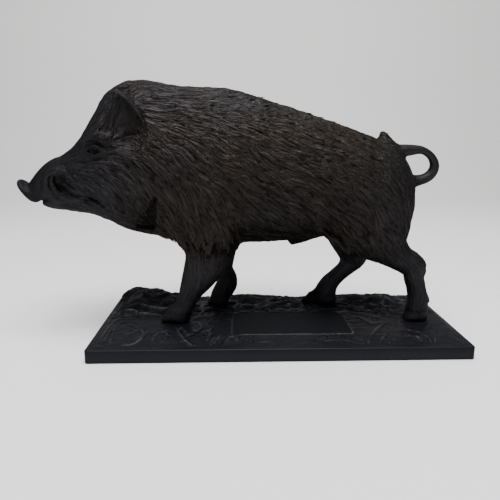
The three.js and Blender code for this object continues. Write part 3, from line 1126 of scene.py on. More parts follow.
    def mouth(self, clay: Clay, side: Side) -> None:
        """Model the ring of the lip, the pocket in it and the tusk.

        Args:
            clay: Body to work on.
            side: Side to work on.
        """
        ring = [
            Station(-172, 138, 1.8, 0, -0.8),
            Station(-179, 141, 2.4, 0, -0.4),
            Station(-187, 138.8, 2.4, 0, -0.2),
            Station(-191.6, 132.5, 2.2, 0, -0.2),
            Station(-191, 125, 2.2, 0, -0.2),
            Station(-187, 118.8, 2.2, 0, -0.2),
            Station(-181, 116, 2.0, 0, -0.4),
            Station(-172, 117, 1.8, 0, -0.6),
            Station(-162, 119, 1.4, 0, -0.8),
        ]
        pocket = [
            Station(-185.6, 134, 2.8, 3.0, 0.2),
            Station(-185.6, 127, 3.4, 4.0, 0.2),
            Station(-179.5, 125.6, 4.4, 4.4, 0.4),
            Station(-172.5, 123.2, 2.6, 3.2, 0.4),
            Station(-165.5, 120.6, 1.4, 1.8, 0.4),
        ]
        tusk = [
            Station(-177.5, 119.6, 1.7, 0, -1.2),
            Station(-182.6, 122.4, 1.9, 0, -0.6),
            Station(-185.8, 128.4, 1.8, 0, -0.2),
            Station(-185.6, 134.6, 1.4, 0, -0.2),
            Station(-183.4, 138.6, 0.8, 0, -0.2),
        ]
        tusk_chain = self.laid(clay, side, tusk)
        clay.add(self.laid(clay, side, ring), 3.0)
        clay.cut(self.laid(clay, side, pocket), 1.6)
        clay.add(tusk_chain, 0.8)

    def folds(self, clay: Clay, side: Side) -> None:
        """Model the folds at the mouth's corner and the slit of the lips.

        Args:
            clay: Body to work on.
            side: Side to work on.
        """
        corner = [
            Station(-157.6, 115.8, 1.6, 0, 0.1),
            Station(-155, 120.4, 1.8, 0, 0.1),
            Station(-152.6, 121.0, 1.6, 0, 0.1),
        ]
        jowl = [
            Station(-154, 120, 1.4, 0, 0.1),
            Station(-147, 117.0, 1.8, 0, 0.1),
            Station(-141.6, 112.0, 1.4, 0, 0.1),
        ]
        swell = [
            Station(-151, 123, 1.6, 0, -0.8),
            Station(-144, 120.6, 2.0, 0, -0.8),
            Station(-138, 114.6, 1.6, 0, -0.8),
        ]
        slit = [
            Station(-167, 120.4, 1.0, 0, 0.1),
            Station(-161, 120.6, 0.9, 0, 0.1),
            Station(-157, 119.4, 0.9, 0, 0.1),
        ]
        clay.add(self.laid(clay, side, swell), 3.0)
        for stations in (corner, jowl, slit):
            clay.cut(self.laid(clay, side, stations), 1.4)

    def snout(self, clay: Clay) -> None:
        """Bore the nostrils and crease the snout behind its disc.

        Args:
            clay: Body to work on.
        """
        for side in Side:
            nostril = [Station(-213.6, 121.4, 1.9, 1.5, 4.2), Station(-212.6, 123.6, 1.6, 1.4, 4.8)]
            clay.cut(self.chain(nostril, side), 1.0)
            crease = [
                Station(-194.5, 135.6, 0.7, 0, 0.2),
                Station(-197, 130.6, 1.0, 0, 0.2),
                Station(-198.4, 124.6, 1.2, 0, 0.2),
                Station(-197.8, 118.4, 1.0, 0, 0.2),
            ]
            clay.cut(self.laid(clay, side, crease), 1.6)

    def ear(self, clay: Clay, side: Side) -> None:
        """Model an upright pointed ear, hollow on its outer side.

        Args:
            clay: Body to work on.
            side: Side to work on.
        """
        leaf = [
            Station(-121, 160, 15.5, 10, 21),
            Station(-120.6, 171, 15.8, 8, 21.5),
            Station(-121.2, 181, 12.6, 6.4, 21.5),
            Station(-123, 190, 9, 5, 21),
            Station(-126.4, 198, 4.8, 3.6, 20),
            Station(-128.3, 201.6, 2.4, 2.6, 19.5),
        ]
        hollow = [
            Station(-117.5, 160, 7.0, 4.0, 36.5),
            Station(-117.8, 167, 12.8, 5.5, 33.0),
            Station(-119.8, 176, 13.6, 8, 30.6),
            Station(-122.8, 186, 9.4, 7, 28.2),
            Station(-126.8, 196, 4.4, 4.2, 25),
        ]
        behind = [
            Station(-111, 190, 0.8, 0, 0.0),
            Station(-107.4, 183, 1.3, 0, -0.6),
            Station(-105, 175, 1.7, 0, -0.8),
            Station(-104.4, 166, 1.4, 0, -0.6),
            Station(-106, 158, 0.7, 0, 0.0),
        ]
        before = [
            Station(-135, 197, 1.2, 0, 17),
            Station(-137.5, 184, 1.4, 0, 20),
            Station(-141, 172, 1.2, 0, 22),
        ]
        clay.add(self.chain(leaf, side), 4.0)
        clay.cut(self.chain(hollow, side), 2.6)
        clay.cut(self.laid(clay, side, behind), 1.2)
        clay.cut(self.chain(before, side), 2.0)

    def jowl(self, clay: Clay, side: Side) -> None:
        """Cut the deep fold where the jowl's hair overhangs the chest.

        Args:
            clay: Body to work on.
            side: Side to work on.
        """
        fold = [
            Station(-99, 120, 1.6, 2.4, 33),
            Station(-101.5, 112, 3.0, 5.0, 30),
            Station(-104.5, 105, 5.6, 8.5, 26),
            Station(-108.5, 97.5, 8.4, 11, 20),
        ]
        clay.cut(self.chain(fold, side), 1.6)

    def clay(self) -> Clay:
        """Return the whole animal, stroke by stroke.

        Returns:
            The body, every stroke in order, cut off at the sole.
        """
        clay = Clay()
        self.torso(clay)
        self.head(clay)
        for side in Side:
            self.foreleg(clay, side)
            self.hindleg(clay, side)
        self.trimmings(clay)
        for side in Side:
            self.face(clay, side)
            self.ear(clay, side)
            self.jowl(clay, side)
        self.snout(clay)
        clay.cut(Below(self.sole), 0.4)
        return clay

    def surface(self) -> tuple[Surface, Array]:
        """Cast the clay and carve the coat into its surface.

        Returns:
            The closed surface, and each vertex's crest value: above 0 paler where rubbed, below 0
            darker in the hair's grooves and where shade is painted.
        """
        clay = self.clay()
        low, high = (np.array(corner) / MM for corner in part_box("boar"))
        caster = Caster(tuple(low - self.margin), tuple(high + self.margin), self.cell)
        surface = caster.cast(clay.distance)
        surface.relaxed(clay, 2, self.cell / 2)
        normals = clay.slope(surface.vertices)[1]
        normals /= np.maximum(np.linalg.norm(normals, axis=1, keepdims=True), 1e-6)
        raised, shade = self.coat.relief(surface.vertices, normals)
        surface.vertices = surface.vertices + normals * raised[:, None]
        surface.vertices[:, 2] = np.maximum(surface.vertices[:, 2], self.sole)
        return surface, shade

    def thin(self, piece: bpy.types.Object) -> None:
        """Thin the mesh, on the plainer side first.

        Args:
            piece: The animal's object.
        """
        points = vertices_of(piece)[0]
        plain = np.nonzero(points[:, 1] > self.midplane + self.plain_beyond)[0]
        group = piece.vertex_groups.new(name="plain")
        group.add(plain.tolist(), 1.0, "REPLACE")
        triangles = 2 * len(points)
        collapse(piece, int(triangles - 2 * len(plain) * (1 - self.plain_share)), "plain")
        piece.vertex_groups.clear()
        collapse(piece, self.triangles)
        piece.data.shade_smooth()

    def build(self, finish: "Patina") -> list[bpy.types.Object]:
        """Make the finished animal in place of its solid.

        Args:
            finish: Patina of the animal and its locks.

        Returns:
            The animal, and the locks strewn over it.
        """
        surface, shade = self.surface()
        piece = surface.object("boar_bronze")
        # crest: paler on rubbed crests, darker in the hair's grooves, and painted shade in the eye, ear,
        # lips, belly and under the hem
        write_values(piece, "crest", shade)
        self.thin(piece)
        points, normals = vertices_of(piece)
        write_vectors(piece, "hair_flow", self.coat.lie(points, normals))
        write_values(piece, "hair_depth", np.minimum(1.0, 1.6 * self.coat.richness(points)))
        write_values(piece, "warmth", self.coat.warmth(points))
        write_values(piece, "lock_density", self.coat.loose(points))
        material = finish.material()
        piece.data.materials.append(material)
        pieces = [piece, *(scatter.over(piece, material) for scatter in LOOSE_LOCKS)]
        for part in pieces:
            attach(part, "root")
            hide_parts("boar")
        return pieces


def vertices_of(piece: bpy.types.Object) -> tuple[Array, Array]:
    """Read the vertices of an object.

    Args:
        piece: Mesh object.

    Returns:
        Their places in millimetres, and their normals.
    """
    count = len(piece.data.vertices)
    points, normals = np.empty(count * 3, np.float32), np.empty(count * 3, np.float32)
    piece.data.vertices.foreach_get("co", points)
    piece.data.vertex_normals.foreach_get("vector", normals)
    return points.reshape(-1, 3) / MM, normals.reshape(-1, 3)


def write_vectors(piece: bpy.types.Object, name: str, vectors: Array) -> None:
    """Store a vector for each vertex of an object."""
    layer = piece.data.attributes.new(name, "FLOAT_VECTOR", "POINT")
    layer.data.foreach_set("vector", vectors.astype(np.float32).ravel())


def write_values(piece: bpy.types.Object, name: str, values: Array) -> None:
    """Store a number for each vertex of an object."""
    layer = piece.data.attributes.new(name, "FLOAT", "POINT")
    layer.data.foreach_set("value", values.astype(np.float32))


@dataclass(frozen=True)
class Lock:
    """A single tapered lock of hair or blade of grass, in millimetres, lying along +X.

    Its root is sunk under the surface it lies on, it bends sideways, and its tip stands off by
    the lift.
    """

    length: float
    width: float
    thickness: float
    lift: float
    bend: float = 0.0
    sides: int = 4

    def surface(self) -> Surface:
        """Return the lock as a closed mesh of two dozen faces.

        Returns:
            The mesh, its root at the origin and its tip toward +X.
        """
        shares = (0.12, 0.45, 0.8)
        rows = [(0.0, 0.0, -self.thickness / 2)]
        for share in shares:
            girth = math.sin(math.pi * share**0.8)
            rise = -self.thickness / 2 + (self.lift + self.thickness / 2) * share**1.2
            for n in range(self.sides):
                turn = 2 * math.pi * n / self.sides
                side = math.cos(turn) * girth * self.width / 2 + self.bend * share**2
                rows.append((share * self.length, side, rise + math.sin(turn) * girth * self.thickness / 2))
        rows.append((self.length, self.bend, self.lift))
        faces, n = [], self.sides
        last = 1 + (len(shares) - 1) * n
        for k in range(n):
            beside = (k + 1) % n
            faces.append((0, 1 + beside, 1 + k))
            for ring in range(1, last, n):
                faces.append((ring + k, ring + beside, ring + beside + n))
                faces.append((ring + k, ring + beside + n, ring + k + n))
            faces.append((last + k, last + beside, len(rows) - 1))
        return Surface(np.array(rows), np.array(faces))


@dataclass(frozen=True)
class Scatter:
    """Geometry Nodes tree that strews a lock over a host, along the host's hair_flow attribute."""

    name: str
    lock: Lock
    per_square_metre: float
    seed: int
    smallest: float = 0.7
    largest: float = 1.25

    SOCKETS: ClassVar[dict[str, str]] = {
        "Geometry": "Geometry",
        "Lock": "Object",
        "Material": "Material",
        "Density": "Float",
        "Smallest": "Float",
        "Largest": "Float",
        "Seed": "Int",
    }

    def tree(self) -> bpy.types.NodeTree:
        """Build the node tree.

        Returns:
            The tree, whose inputs are the host's mesh, the lock, its material and the sizes.
        """
        tree = bpy.data.node_groups.new(self.name, "GeometryNodeTree")
        for label, kind in self.SOCKETS.items():
            tree.interface.new_socket(label, in_out="INPUT", socket_type="NodeSocket" + kind)
        tree.interface.new_socket("Geometry", in_out="OUTPUT", socket_type="NodeSocketGeometry")
        given = node(tree, "NodeGroupInput", {}).outputs
        named = "GeometryNodeInputNamedAttribute"
        share = node(tree, named, {"Name": "lock_density"}, data_type="FLOAT").outputs["Attribute"]
        flow = node(tree, named, {"Name": "hair_flow"}, data_type="FLOAT_VECTOR").outputs["Attribute"]
        density = sums(tree, "MULTIPLY", given["Density"], share)
        strewn = node(
            tree,
            "GeometryNodeDistributePointsOnFaces",
            {"Mesh": given["Geometry"], "Density": density, "Seed": given["Seed"]},
            distribute_method="RANDOM",
        ).outputs
        turned = node(
            tree,
            "FunctionNodeAlignRotationToVector",
            {"Rotation": strewn["Rotation"], "Vector": flow},
            axis="X",
            pivot_axis="Z",
        ).outputs[0]
        size = node(
            tree,
            "FunctionNodeRandomValue",
            {2: given["Smallest"], 3: given["Largest"], "Seed": given["Seed"]},
            data_type="FLOAT",
        ).outputs[1]
        source = node(tree, "GeometryNodeObjectInfo", {"Object": given["Lock"]}).outputs["Geometry"]
        placed = node(
            tree,
            "GeometryNodeInstanceOnPoints",
            {"Points": strewn["Points"], "Instance": source, "Rotation": turned, "Scale": size},
        ).outputs[0]
        real = node(tree, "GeometryNodeRealizeInstances", {"Geometry": placed}).outputs[0]
        dressing = {"Geometry": real, "Material": given["Material"]}
        dressed = node(tree, "GeometryNodeSetMaterial", dressing).outputs[0]
        node(tree, "NodeGroupOutput", {"Geometry": dressed})
        return tree

    def over(self, host: bpy.types.Object, material: bpy.types.Material) -> bpy.types.Object:
        """Strew the lock over a host and keep the result as a plain object.

        Args:
            host: Object with the attributes lock_density and hair_flow.
            material: Material of the result.

        Returns:
            A new object, linked to the scene.
        """
        lock = self.lock.surface().object(self.name + "_one")
        values = {
            "Lock": lock,
            "Material": material,
            "Density": self.per_square_metre,
            "Smallest": self.smallest,
            "Largest": self.largest,
            "Seed": self.seed,
        }
        strewer = host.modifiers.new("strew", "NODES")
        strewer.node_group = self.tree()
        for socket in strewer.node_group.interface.items_tree:
            if socket.in_out == "INPUT" and socket.name in values:
                strewer[socket.identifier] = values[socket.name]
        depsgraph = bpy.context.evaluated_depsgraph_get()
        mesh = bpy.data.meshes.new_from_object(host.evaluated_get(depsgraph))
        host.modifiers.clear()
        bpy.data.objects.remove(lock)
        mesh.name = self.name
        made = bpy.data.objects.new(self.name, mesh)
        bpy.context.scene.collection.objects.link(made)
        mesh.shade_smooth()
        return made


LOOSE_LOCKS = (
    Scatter("locks_left", Lock(6.5, 1.5, 0.9, 0.15, 1.2), 45_000.0, 5),
    Scatter("locks_right", Lock(6.0, 1.4, 0.9, 0.15, -1.2), 45_000.0, 6),
)
GRASS = Scatter("plinth_grass", Lock(7.5, 1.2, 0.8, 0.1, 1.3), 60_000.0, 9)


@dataclass(frozen=True)
class Ridge:
    """A raised stroke of the modelling tool on the ground: places in plan, half width and height."""

    places: tuple[tuple[float, float], ...]
    width: float = 1.0
    height: float = 0.6

    def over(self, points: Array) -> Array:
        """Return the height that the stroke adds at points in plan.

        Args:
            points: x and y, one place per row.

        Returns:
            Heights, tapering to nothing at both ends.
        """
        stations = [Station(x, y, 1.0) for x, y in self.places]
        curve = Chain(stations, 0.0, 0, 5).rows[:, [0, 2]]
        low, high = curve.min(axis=0) - 3 * self.width, curve.max(axis=0) + 3 * self.width
        near = ((points > low) & (points < high)).all(axis=1)
        best = np.zeros(len(points))
        place = points[near]
        top = np.zeros(len(place))
        for n, (a, b) in enumerate(zip(curve[:-1], curve[1:])):
            way = b - a
            t = np.clip(((place - a) @ way) / (way @ way), 0.0, 1.0)
            away = np.linalg.norm(place - a - t[:, None] * way, axis=1)
            run = (n + t) / (len(curve) - 1)
            taper = np.sqrt(np.clip(np.sin(np.pi * (0.06 + 0.88 * run)), 0.0, 1.0))
            section = np.exp(-((away / (self.width * taper + 0.1)) ** 2))
            top = np.maximum(top, self.height * taper * section)
        best[near] = top
        return best


RIDGES = (
    # broad leaf at the left front, with its veins, and the grass bent round it
    Ridge(
        ((-130, -23), (-126, -15), (-119, -20), (-111, -31), (-110, -44), (-116, -52), (-124, -54)),
        1.1,
        0.6,
    ),
    Ridge(((-125, -40), (-122, -35), (-118, -31), (-114, -25)), 1.0, 0.5),
    Ridge(((-120, -47), (-118, -41), (-115, -37)), 0.9, 0.4),
    Ridge(((-142, -50), (-142, -34), (-140, -14), (-135, 1), (-127, 5)), 1.2, 0.6),
    Ridge(((-139, -51), (-138, -36), (-137, -20), (-133, -8)), 1.1, 0.5),
    Ridge(((-133, -50), (-135, -34), (-134, -18), (-130, -9)), 1.1, 0.5),
    Ridge(((-145, -5), (-144, 18), (-141, 44)), 1.3, 0.6),
    # looped blade, and the two long blades that meet at the hoof
    Ridge(((-101, -49), (-99, -38), (-96, -32), (-92, -32), (-90, -42), (-93, -50)), 1.0, 0.7),
    Ridge(((-109, -38), (-107, -30), (-103, -26)), 1.0, 0.4),
    Ridge(((-85, -20), (-81, -34), (-76, -46), (-69, -55)), 1.2, 0.75),
    Ridge(((-83, -18), (-77, -31), (-72, -46)), 1.0, 0.5),
    # rosette behind the hoof, and the straight blade past it
    Ridge(((-73, -19), (-71, -12), (-67, -12), (-64, -21), (-67, -29), (-71, -27), (-71, -21)), 1.2, 0.6),
    Ridge(((-64, -36), (-60, -30), (-56, -35), (-58, -47)), 1.2, 0.5),
    Ridge(((-71, -4), (-66, 9), (-60, 22), (-54, 33), (-48, 44)), 1.4, 1.0),
    # tufts before the plate
    Ridge(((-55, -55), (-54, -48), (-51, -43)), 0.9, 0.5),
    Ridge(((-53, -52), (-50, -46), (-48, -40)), 0.9, 0.5),
    Ridge(((-45, -55), (-42, -47), (-38, -42), (-33, -48)), 1.0, 0.6),
    Ridge(((-20, -52), (-12, -50), (-2, -52)), 1.2, 0.25),
    Ridge(((12, -51), (22, -53), (34, -51)), 1.2, 0.25),
    # waves of clay from the hoof back to the left end
    Ridge(((-139, 14), (-131, 18), (-121, 12), (-111, 10), (-101, 5)), 1.7, 0.9),
    Ridge(((-129, 34), (-118, 28), (-108, 23), (-99, 23)), 1.8, 0.9),
    # grass at the right front
    Ridge(((57, -49), (61, -54), (68, -52)), 0.9, 0.4),
    Ridge(((70, -46), (69, -53), (63, -58)), 0.9, 0.4),
    Ridge(((71, -47), (79, -34), (88, -21), (96, -14)), 1.3, 0.75),
    Ridge(((76, -57), (82, -47), (89, -38)), 1.0, 0.55),
    Ridge(((84, -56), (88, -50), (93, -46)), 0.9, 0.45),
    Ridge(((100, -32), (107, -31), (113, -35), (115, -41), (112, -48)), 1.0, 0.5),
    Ridge(((97, -45), (104, -43), (110, -45), (112, -51), (111, -57)), 1.0, 0.5),
    Ridge(((116, -43), (119, -47), (117, -56)), 0.9, 0.5),
    Ridge(((121, -40), (123, -48), (120, -57)), 0.9, 0.5),
    Ridge(((128, -46), (131, -38), (129, -28)), 1.0, 0.35),
    Ridge(((71, 2), (76, -7), (82, -16), (90, -14), (96, -10)), 1.5, 0.7),
    Ridge(((69, 9), (78, 6), (86, -1), (95, -4)), 1.5, 0.7),
)


@dataclass(frozen=True)
class Heap:
    """A soft heap of earth: its height, its middle in plan, and its half sizes along and across."""

    height: float
    x: float
    y: float
    along: float
    across: float

    def over(self, x: Array, y: Array) -> Array:
        """Return the height that the heap adds at places in plan."""
        away = ((x - self.x) / self.along) ** 2 + ((y - self.y) / self.across) ** 2
        return self.height * np.exp(-away)


HEAPS = (
    # behind the head, in the far left corner, along the back, behind the rump, and at the two ends
    Heap(12.0, -115.0, 50.0, 32.0, 16.0),
    Heap(5.0, -133.0, 53.0, 12.0, 11.0),
    Heap(5.0, -25.0, 54.0, 44.0, 9.0),
    Heap(6.0, 88.0, 51.0, 48.0, 11.0),
    Heap(2.8, 141.0, 10.0, 8.0, 45.0),
    Heap(2.2, -138.0, 0.0, 8.0, 40.0),
)


@dataclass
class Plinth:
    """Straight-sided slab with modelled ground on top and a bare recess for a name plate."""

    length: float
    depth: float
    rim_height: float = 10.6
    corner: float = 2.5
    bevel: float = 0.7
    band: float = 5.0
    ground: float = 13.2
    rise: float = 16.0
    cell: float = 0.8
    triangles: int = 165_000
    plate_low: tuple[float, float] = (-37.5, -38.0)
    plate_high: tuple[float, float] = (60.0, 14.0)
    plate_corners: tuple[float, float] = (3.0, 13.0)
    plate_tilt: float = 0.03
    hooves: tuple[tuple[float, float], ...] = ((-86, -6), (-50, 38), (122, -6), (46, 38))
    tread: tuple[float, float] = (19.0, 13.0)
    # inset from the outermost plane and level, ring by ring down the side
    rings: tuple[tuple[float, float], ...] = ((0.3, 10.4), (0.0, 9.9), (0.0, 5.0), (0.0, 0.5), (0.5, 0.0))
    # seed, size along, size across and height of the clay's strokes
    strokes: tuple[tuple[int, float, float, float], ...] = (
        (33, 10.0, 4.2, 0.8),
        (34, 6.0, 2.4, 0.5),
        (35, 3.0, 1.6, 0.28),
    )

    def to_rim(self, x: Array, y: Array) -> Array:
        """Return distances in from the plinth's nearest side."""
        return np.minimum(self.length / 2 - np.abs(x), self.depth / 2 - np.abs(y))

    def to_hoof(self, x: Array, y: Array) -> Array:
        """Return distances from the nearest hoof, 1 on the rim of the trodden oval."""
        along, across = self.tread
        return np.min([np.hypot((x - hx) / along, (y - hy) / across) for hx, hy in self.hooves], axis=0)

    def earth(self, x: Array, y: Array) -> Array:
        """Model the relief of the clay: strokes run mostly along the plinth.

        Args:
            x: Places along the plinth.
            y: Places across it.

        Returns:
            Heights, about zero on average.
        """
        flat = np.zeros_like(x)
        bend = Grain(31, 14.0).at(np.stack([x, y, flat], axis=1))
        swing = Grain(32, 9.0).at(np.stack([x, y, flat], axis=1))
        total = np.zeros_like(x)
        for seed, along, across, size in self.strokes:
            place = np.stack([(x + 5 * swing) / along, (y + 6 * bend) / across, flat], axis=1)
            value = Grain(seed, 1.0).at(place)
            total += size * (0.8 - 2.2 * np.abs(value))
        return total

    def to_plate(self, x: Array, y: Array) -> Array:
        """Measure how far places are from the plate's outline.

        Args:
            x: Places along the plinth.
            y: Places across it.

        Returns:
            Signed distances, negative inside.
        """
        (left, near), (right, far) = self.plate_low, self.plate_high
        middle_x, middle_y = (left + right) / 2, (near + far) / 2
        corner = np.where(y < middle_y, self.plate_corners[0], self.plate_corners[1])
        across = np.abs(x - middle_x) - (right - left) / 2 + corner
        along = np.abs(y - middle_y) - (far - near) / 2 + corner
        outer = np.hypot(np.maximum(across, 0), np.maximum(along, 0))
        return outer + np.minimum(np.maximum(across, along), 0) - corner

    def relief(self, x: Array, y: Array) -> tuple[Array, Array]:
        """Model the finished ground.

        Args:
            x: Places along the plinth.
            y: Places across it.

        Returns:
            Heights over the underside, and crest values: above 0 a painted highlight on the plate's lip
            and paler raised strokes, below 0 painted shade in the plate's recess and darker hollows.
        """
        from_edge = self.to_rim(x, y)
        inner = smoothstep(from_edge, self.band, self.band + self.rise)
        border = smoothstep(from_edge, 0.8, 6.0)
        level = self.rim_height + (self.ground - 0.7 - self.rim_height) * inner
        edge = self.to_plate(x, y)
        rough = 0.3 + 0.9 * smoothstep(y, -10.0, 24.0) * (1 - smoothstep(y, 54.0, 64.0))
        places = np.stack([x, y], axis=1)
        strokes = np.max([ridge.over(places) for ridge in RIDGES], axis=0)
        worked = border * rough * self.earth(x, y) + 1.4 * strokes * smoothstep(from_edge, 2.0, 6.0)
        open_ground = level + border * sum(heap.over(x, y) for heap in HEAPS) + worked
        trodden = 1 - smoothstep(self.to_hoof(x, y), 1.0, 1.6)
        ground = open_ground + trodden * (np.minimum(open_ground, self.ground) - open_ground)
        floor = self.rim_height + 0.1 + math.tan(self.plate_tilt) * (y - self.plate_low[1])
        near = 1 - smoothstep(y, self.plate_low[1] + 1.0, self.plate_low[1] + 5.0)
        height = (0.35 + 0.5 * near) * (0.35 + 0.65 * smoothstep(x, -36.0, -28.0))
        lip = height * np.exp(-(((edge - 0.7) / 0.7) ** 2))
        beyond = smoothstep(edge, -0.3, 0.9)
        # Crest values: painted shade in the plate's recess, a painted highlight along its lip, and the
        # worked ground paler on its ridges and darker in its hollows
        shade = 0.36 * worked * beyond - 0.45 * (1 - beyond) + 1.6 * lip
        return floor + (ground - floor) * beyond + lip, shade

    def surface(self) -> Surface:
        """Mesh the slab: a grid on top, a bevelled edge, the sides and the underside.

        Returns:
            The closed surface.
        """
        half = np.array([self.length / 2, self.depth / 2]) - self.bevel
        count = np.round(2 * half / self.cell).astype(int)
        xs, ys = (np.linspace(-half[k], half[k], count[k] + 1) for k in range(2))
        x, y = (v.ravel() for v in np.meshgrid(xs, ys, indexing="ij"))
        x, y = self._rounded(x, y, half, self.corner - self.bevel)
        top = np.stack([x, y, self.relief(x, y)[0]], axis=1)
        number = np.arange(len(top)).reshape(count + 1)
        corners = [number[:-1, :-1], number[1:, :-1], number[1:, 1:], number[:-1, 1:]]
        quads = np.stack(corners, axis=-1).reshape(-1, 4)
        rim = np.concatenate([number[:-1, 0], number[-1, :-1], number[:0:-1, -1], number[0, :0:-1]])
        vertices, faces = [top], [quads]
        edge = top[rim, :2]
        outward = np.roll(edge, -1, axis=0) - np.roll(edge, 1, axis=0)
        outward = np.stack([outward[:, 1], -outward[:, 0]], axis=1)
        outward /= np.linalg.norm(outward, axis=1, keepdims=True)
        above = rim
        size = len(rim)
        for inset, z in self.rings:
            ring = edge + outward * (self.bevel - inset)
            start = sum(len(part) for part in vertices)
            below = np.arange(start, start + size)
            vertices.append(np.column_stack([ring, np.full(size, z)]))
            faces.append(np.stack([above, below, np.roll(below, -1), np.roll(above, -1)], axis=1))
            above = below
        inner = np.setdiff1d(np.arange(len(top)), rim)
        under = np.empty(len(top), int)
        under[rim] = above
        under[inner] = above[-1] + 1 + np.arange(len(inner))
        vertices.append(top[inner] * np.array([1.0, 1.0, 0.0]))
        faces.append(under[quads][:, ::-1])
        return Surface(np.vstack(vertices), np.vstack(faces))

    @staticmethod
    def _rounded(x: Array, y: Array, half: Array, radius: float) -> tuple[Array, Array]:
        """Push the grid's corners in to round ones.

        Args:
            x: Places along the plinth.
            y: Places across it.
            half: Half the grid's length and depth.
            radius: Radius of the corners in plan.

        Returns:
            The places moved in.
        """
        u = np.clip((np.abs(x) - half[0] + radius) / radius, 0, 1)
        v = np.clip((np.abs(y) - half[1] + radius) / radius, 0, 1)
        new_u, new_v = u * np.sqrt(1 - v * v / 2), v * np.sqrt(1 - u * u / 2)
        return x - np.sign(x) * radius * (u - new_u), y - np.sign(y) * radius * (v - new_v)

    def build(self, finish: "Patina") -> list[bpy.types.Object]:
        """Make the finished plinth in place of its solid.

        Args:
            finish: Patina of the plinth and its grass.

        Returns:
            The plinth, and the grass strewn over it.
        """
        piece = self.surface().object("plinth_bronze")
        collapse(piece, self.triangles)
        piece.data.shade_smooth()
        points, normals = vertices_of(piece)
        upward = smoothstep(normals[:, 2], 0.2, 0.6)
        # crest, on upward faces only: painted highlight on the plate's lip, painted shade in its recess,
        # paler ridges and darker hollows
        write_values(piece, "crest", upward * self.relief(points[:, 0], points[:, 1])[1])
        write_vectors(piece, "hair_flow", self.growth(points, normals))
        write_values(piece, "hair_depth", np.zeros(len(points)))
        write_values(piece, "warmth", np.ones(len(points)))
        write_values(piece, "lock_density", self.turf(points) * smoothstep(normals[:, 2], 0.6, 0.8))
        material = finish.material()
        piece.data.materials.append(material)
        pieces = [piece, GRASS.over(piece, material)]
        for part in pieces:
            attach(part, "root")
            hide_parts("plinth")
        return pieces

    def growth(self, points: Array, normals: Array) -> Array:
        """Lay the grass along the ground.

        Args:
            points: Places, one per row.
            normals: Outward unit normals there.

        Returns:
            Unit directions along the ground.
        """
        level = points * np.array([1.0, 1.0, 0.0])
        swing = 60 * Grain(41, 24.0).at(level) + 35 * Grain(42, 7.0).at(level)
        turn = np.radians(swing + 50 - 40 * smoothstep(points[:, 1], -20.0, 20.0))
        lying = np.stack([np.cos(turn), np.sin(turn), np.zeros_like(turn)], axis=1)
        lying -= (lying * normals).sum(axis=1, keepdims=True) * normals
        return lying / np.maximum(np.linalg.norm(lying, axis=1, keepdims=True), 1e-3)

    def turf(self, points: Array) -> Array:
        """Tell how thickly grass grows.

        Args:
            points: Places, one per row.

        Returns:
            Shares of the full density, from 0 to 1.
        """
        x, y = points[:, 0], points[:, 1]
        inside = smoothstep(self.to_rim(x, y), 7.0, 12.0)
        clear = smoothstep(self.to_plate(x, y), 6.0, 10.0)
        untrodden = smoothstep(self.to_hoof(x, y), 1.3, 1.7)
        patches = smoothstep(Grain(43, 16.0).at(points * np.array([1.0, 1.0, 0.0])), -0.1, 0.4)
        fore = 1 - smoothstep(y, 16.0, 30.0)
        return inside * clear * fore * untrodden * (0.15 + 0.85 * patches)


def collapse(piece: bpy.types.Object, triangles: int, group: str = "") -> None:
    """Bring a mesh down to a number of triangles.

    Args:
        piece: Object to thin.
        triangles: Most triangles it may have.
        group: Vertex group to thin first, or nothing for the whole mesh.
    """
    have = sum(len(face.vertices) - 2 for face in piece.data.polygons)
    if have <= triangles:
        return
    thinner = piece.modifiers.new("thin", "DECIMATE")
    thinner.ratio = triangles / have
    thinner.use_collapse_triangulate = True
    thinner.vertex_group = group
    thinner.vertex_group_factor = 1.0
    depsgraph = bpy.context.evaluated_depsgraph_get()
    mesh = bpy.data.meshes.new_from_object(piece.evaluated_get(depsgraph))
    piece.modifiers.clear()
    piece.data = mesh
    log.info("%s: %d triangles thinned to %d", piece.name, have, len(mesh.polygons))


def linear(colour: str) -> tuple[float, float, float, float]:
    """Turn an sRGB colour into linear values.

    Args:
        colour: Hash sign and six hex digits.

    Returns:
        Red, green, blue and an alpha of 1.
    """
    values = [int(colour[i : i + 2], 16) / 255 for i in (1, 3, 5)]
    red, green, blue = (v / 12.92 if v <= 0.04045 else ((v + 0.055) / 1.055) ** 2.4 for v in values)
    return red, green, blue, 1.0


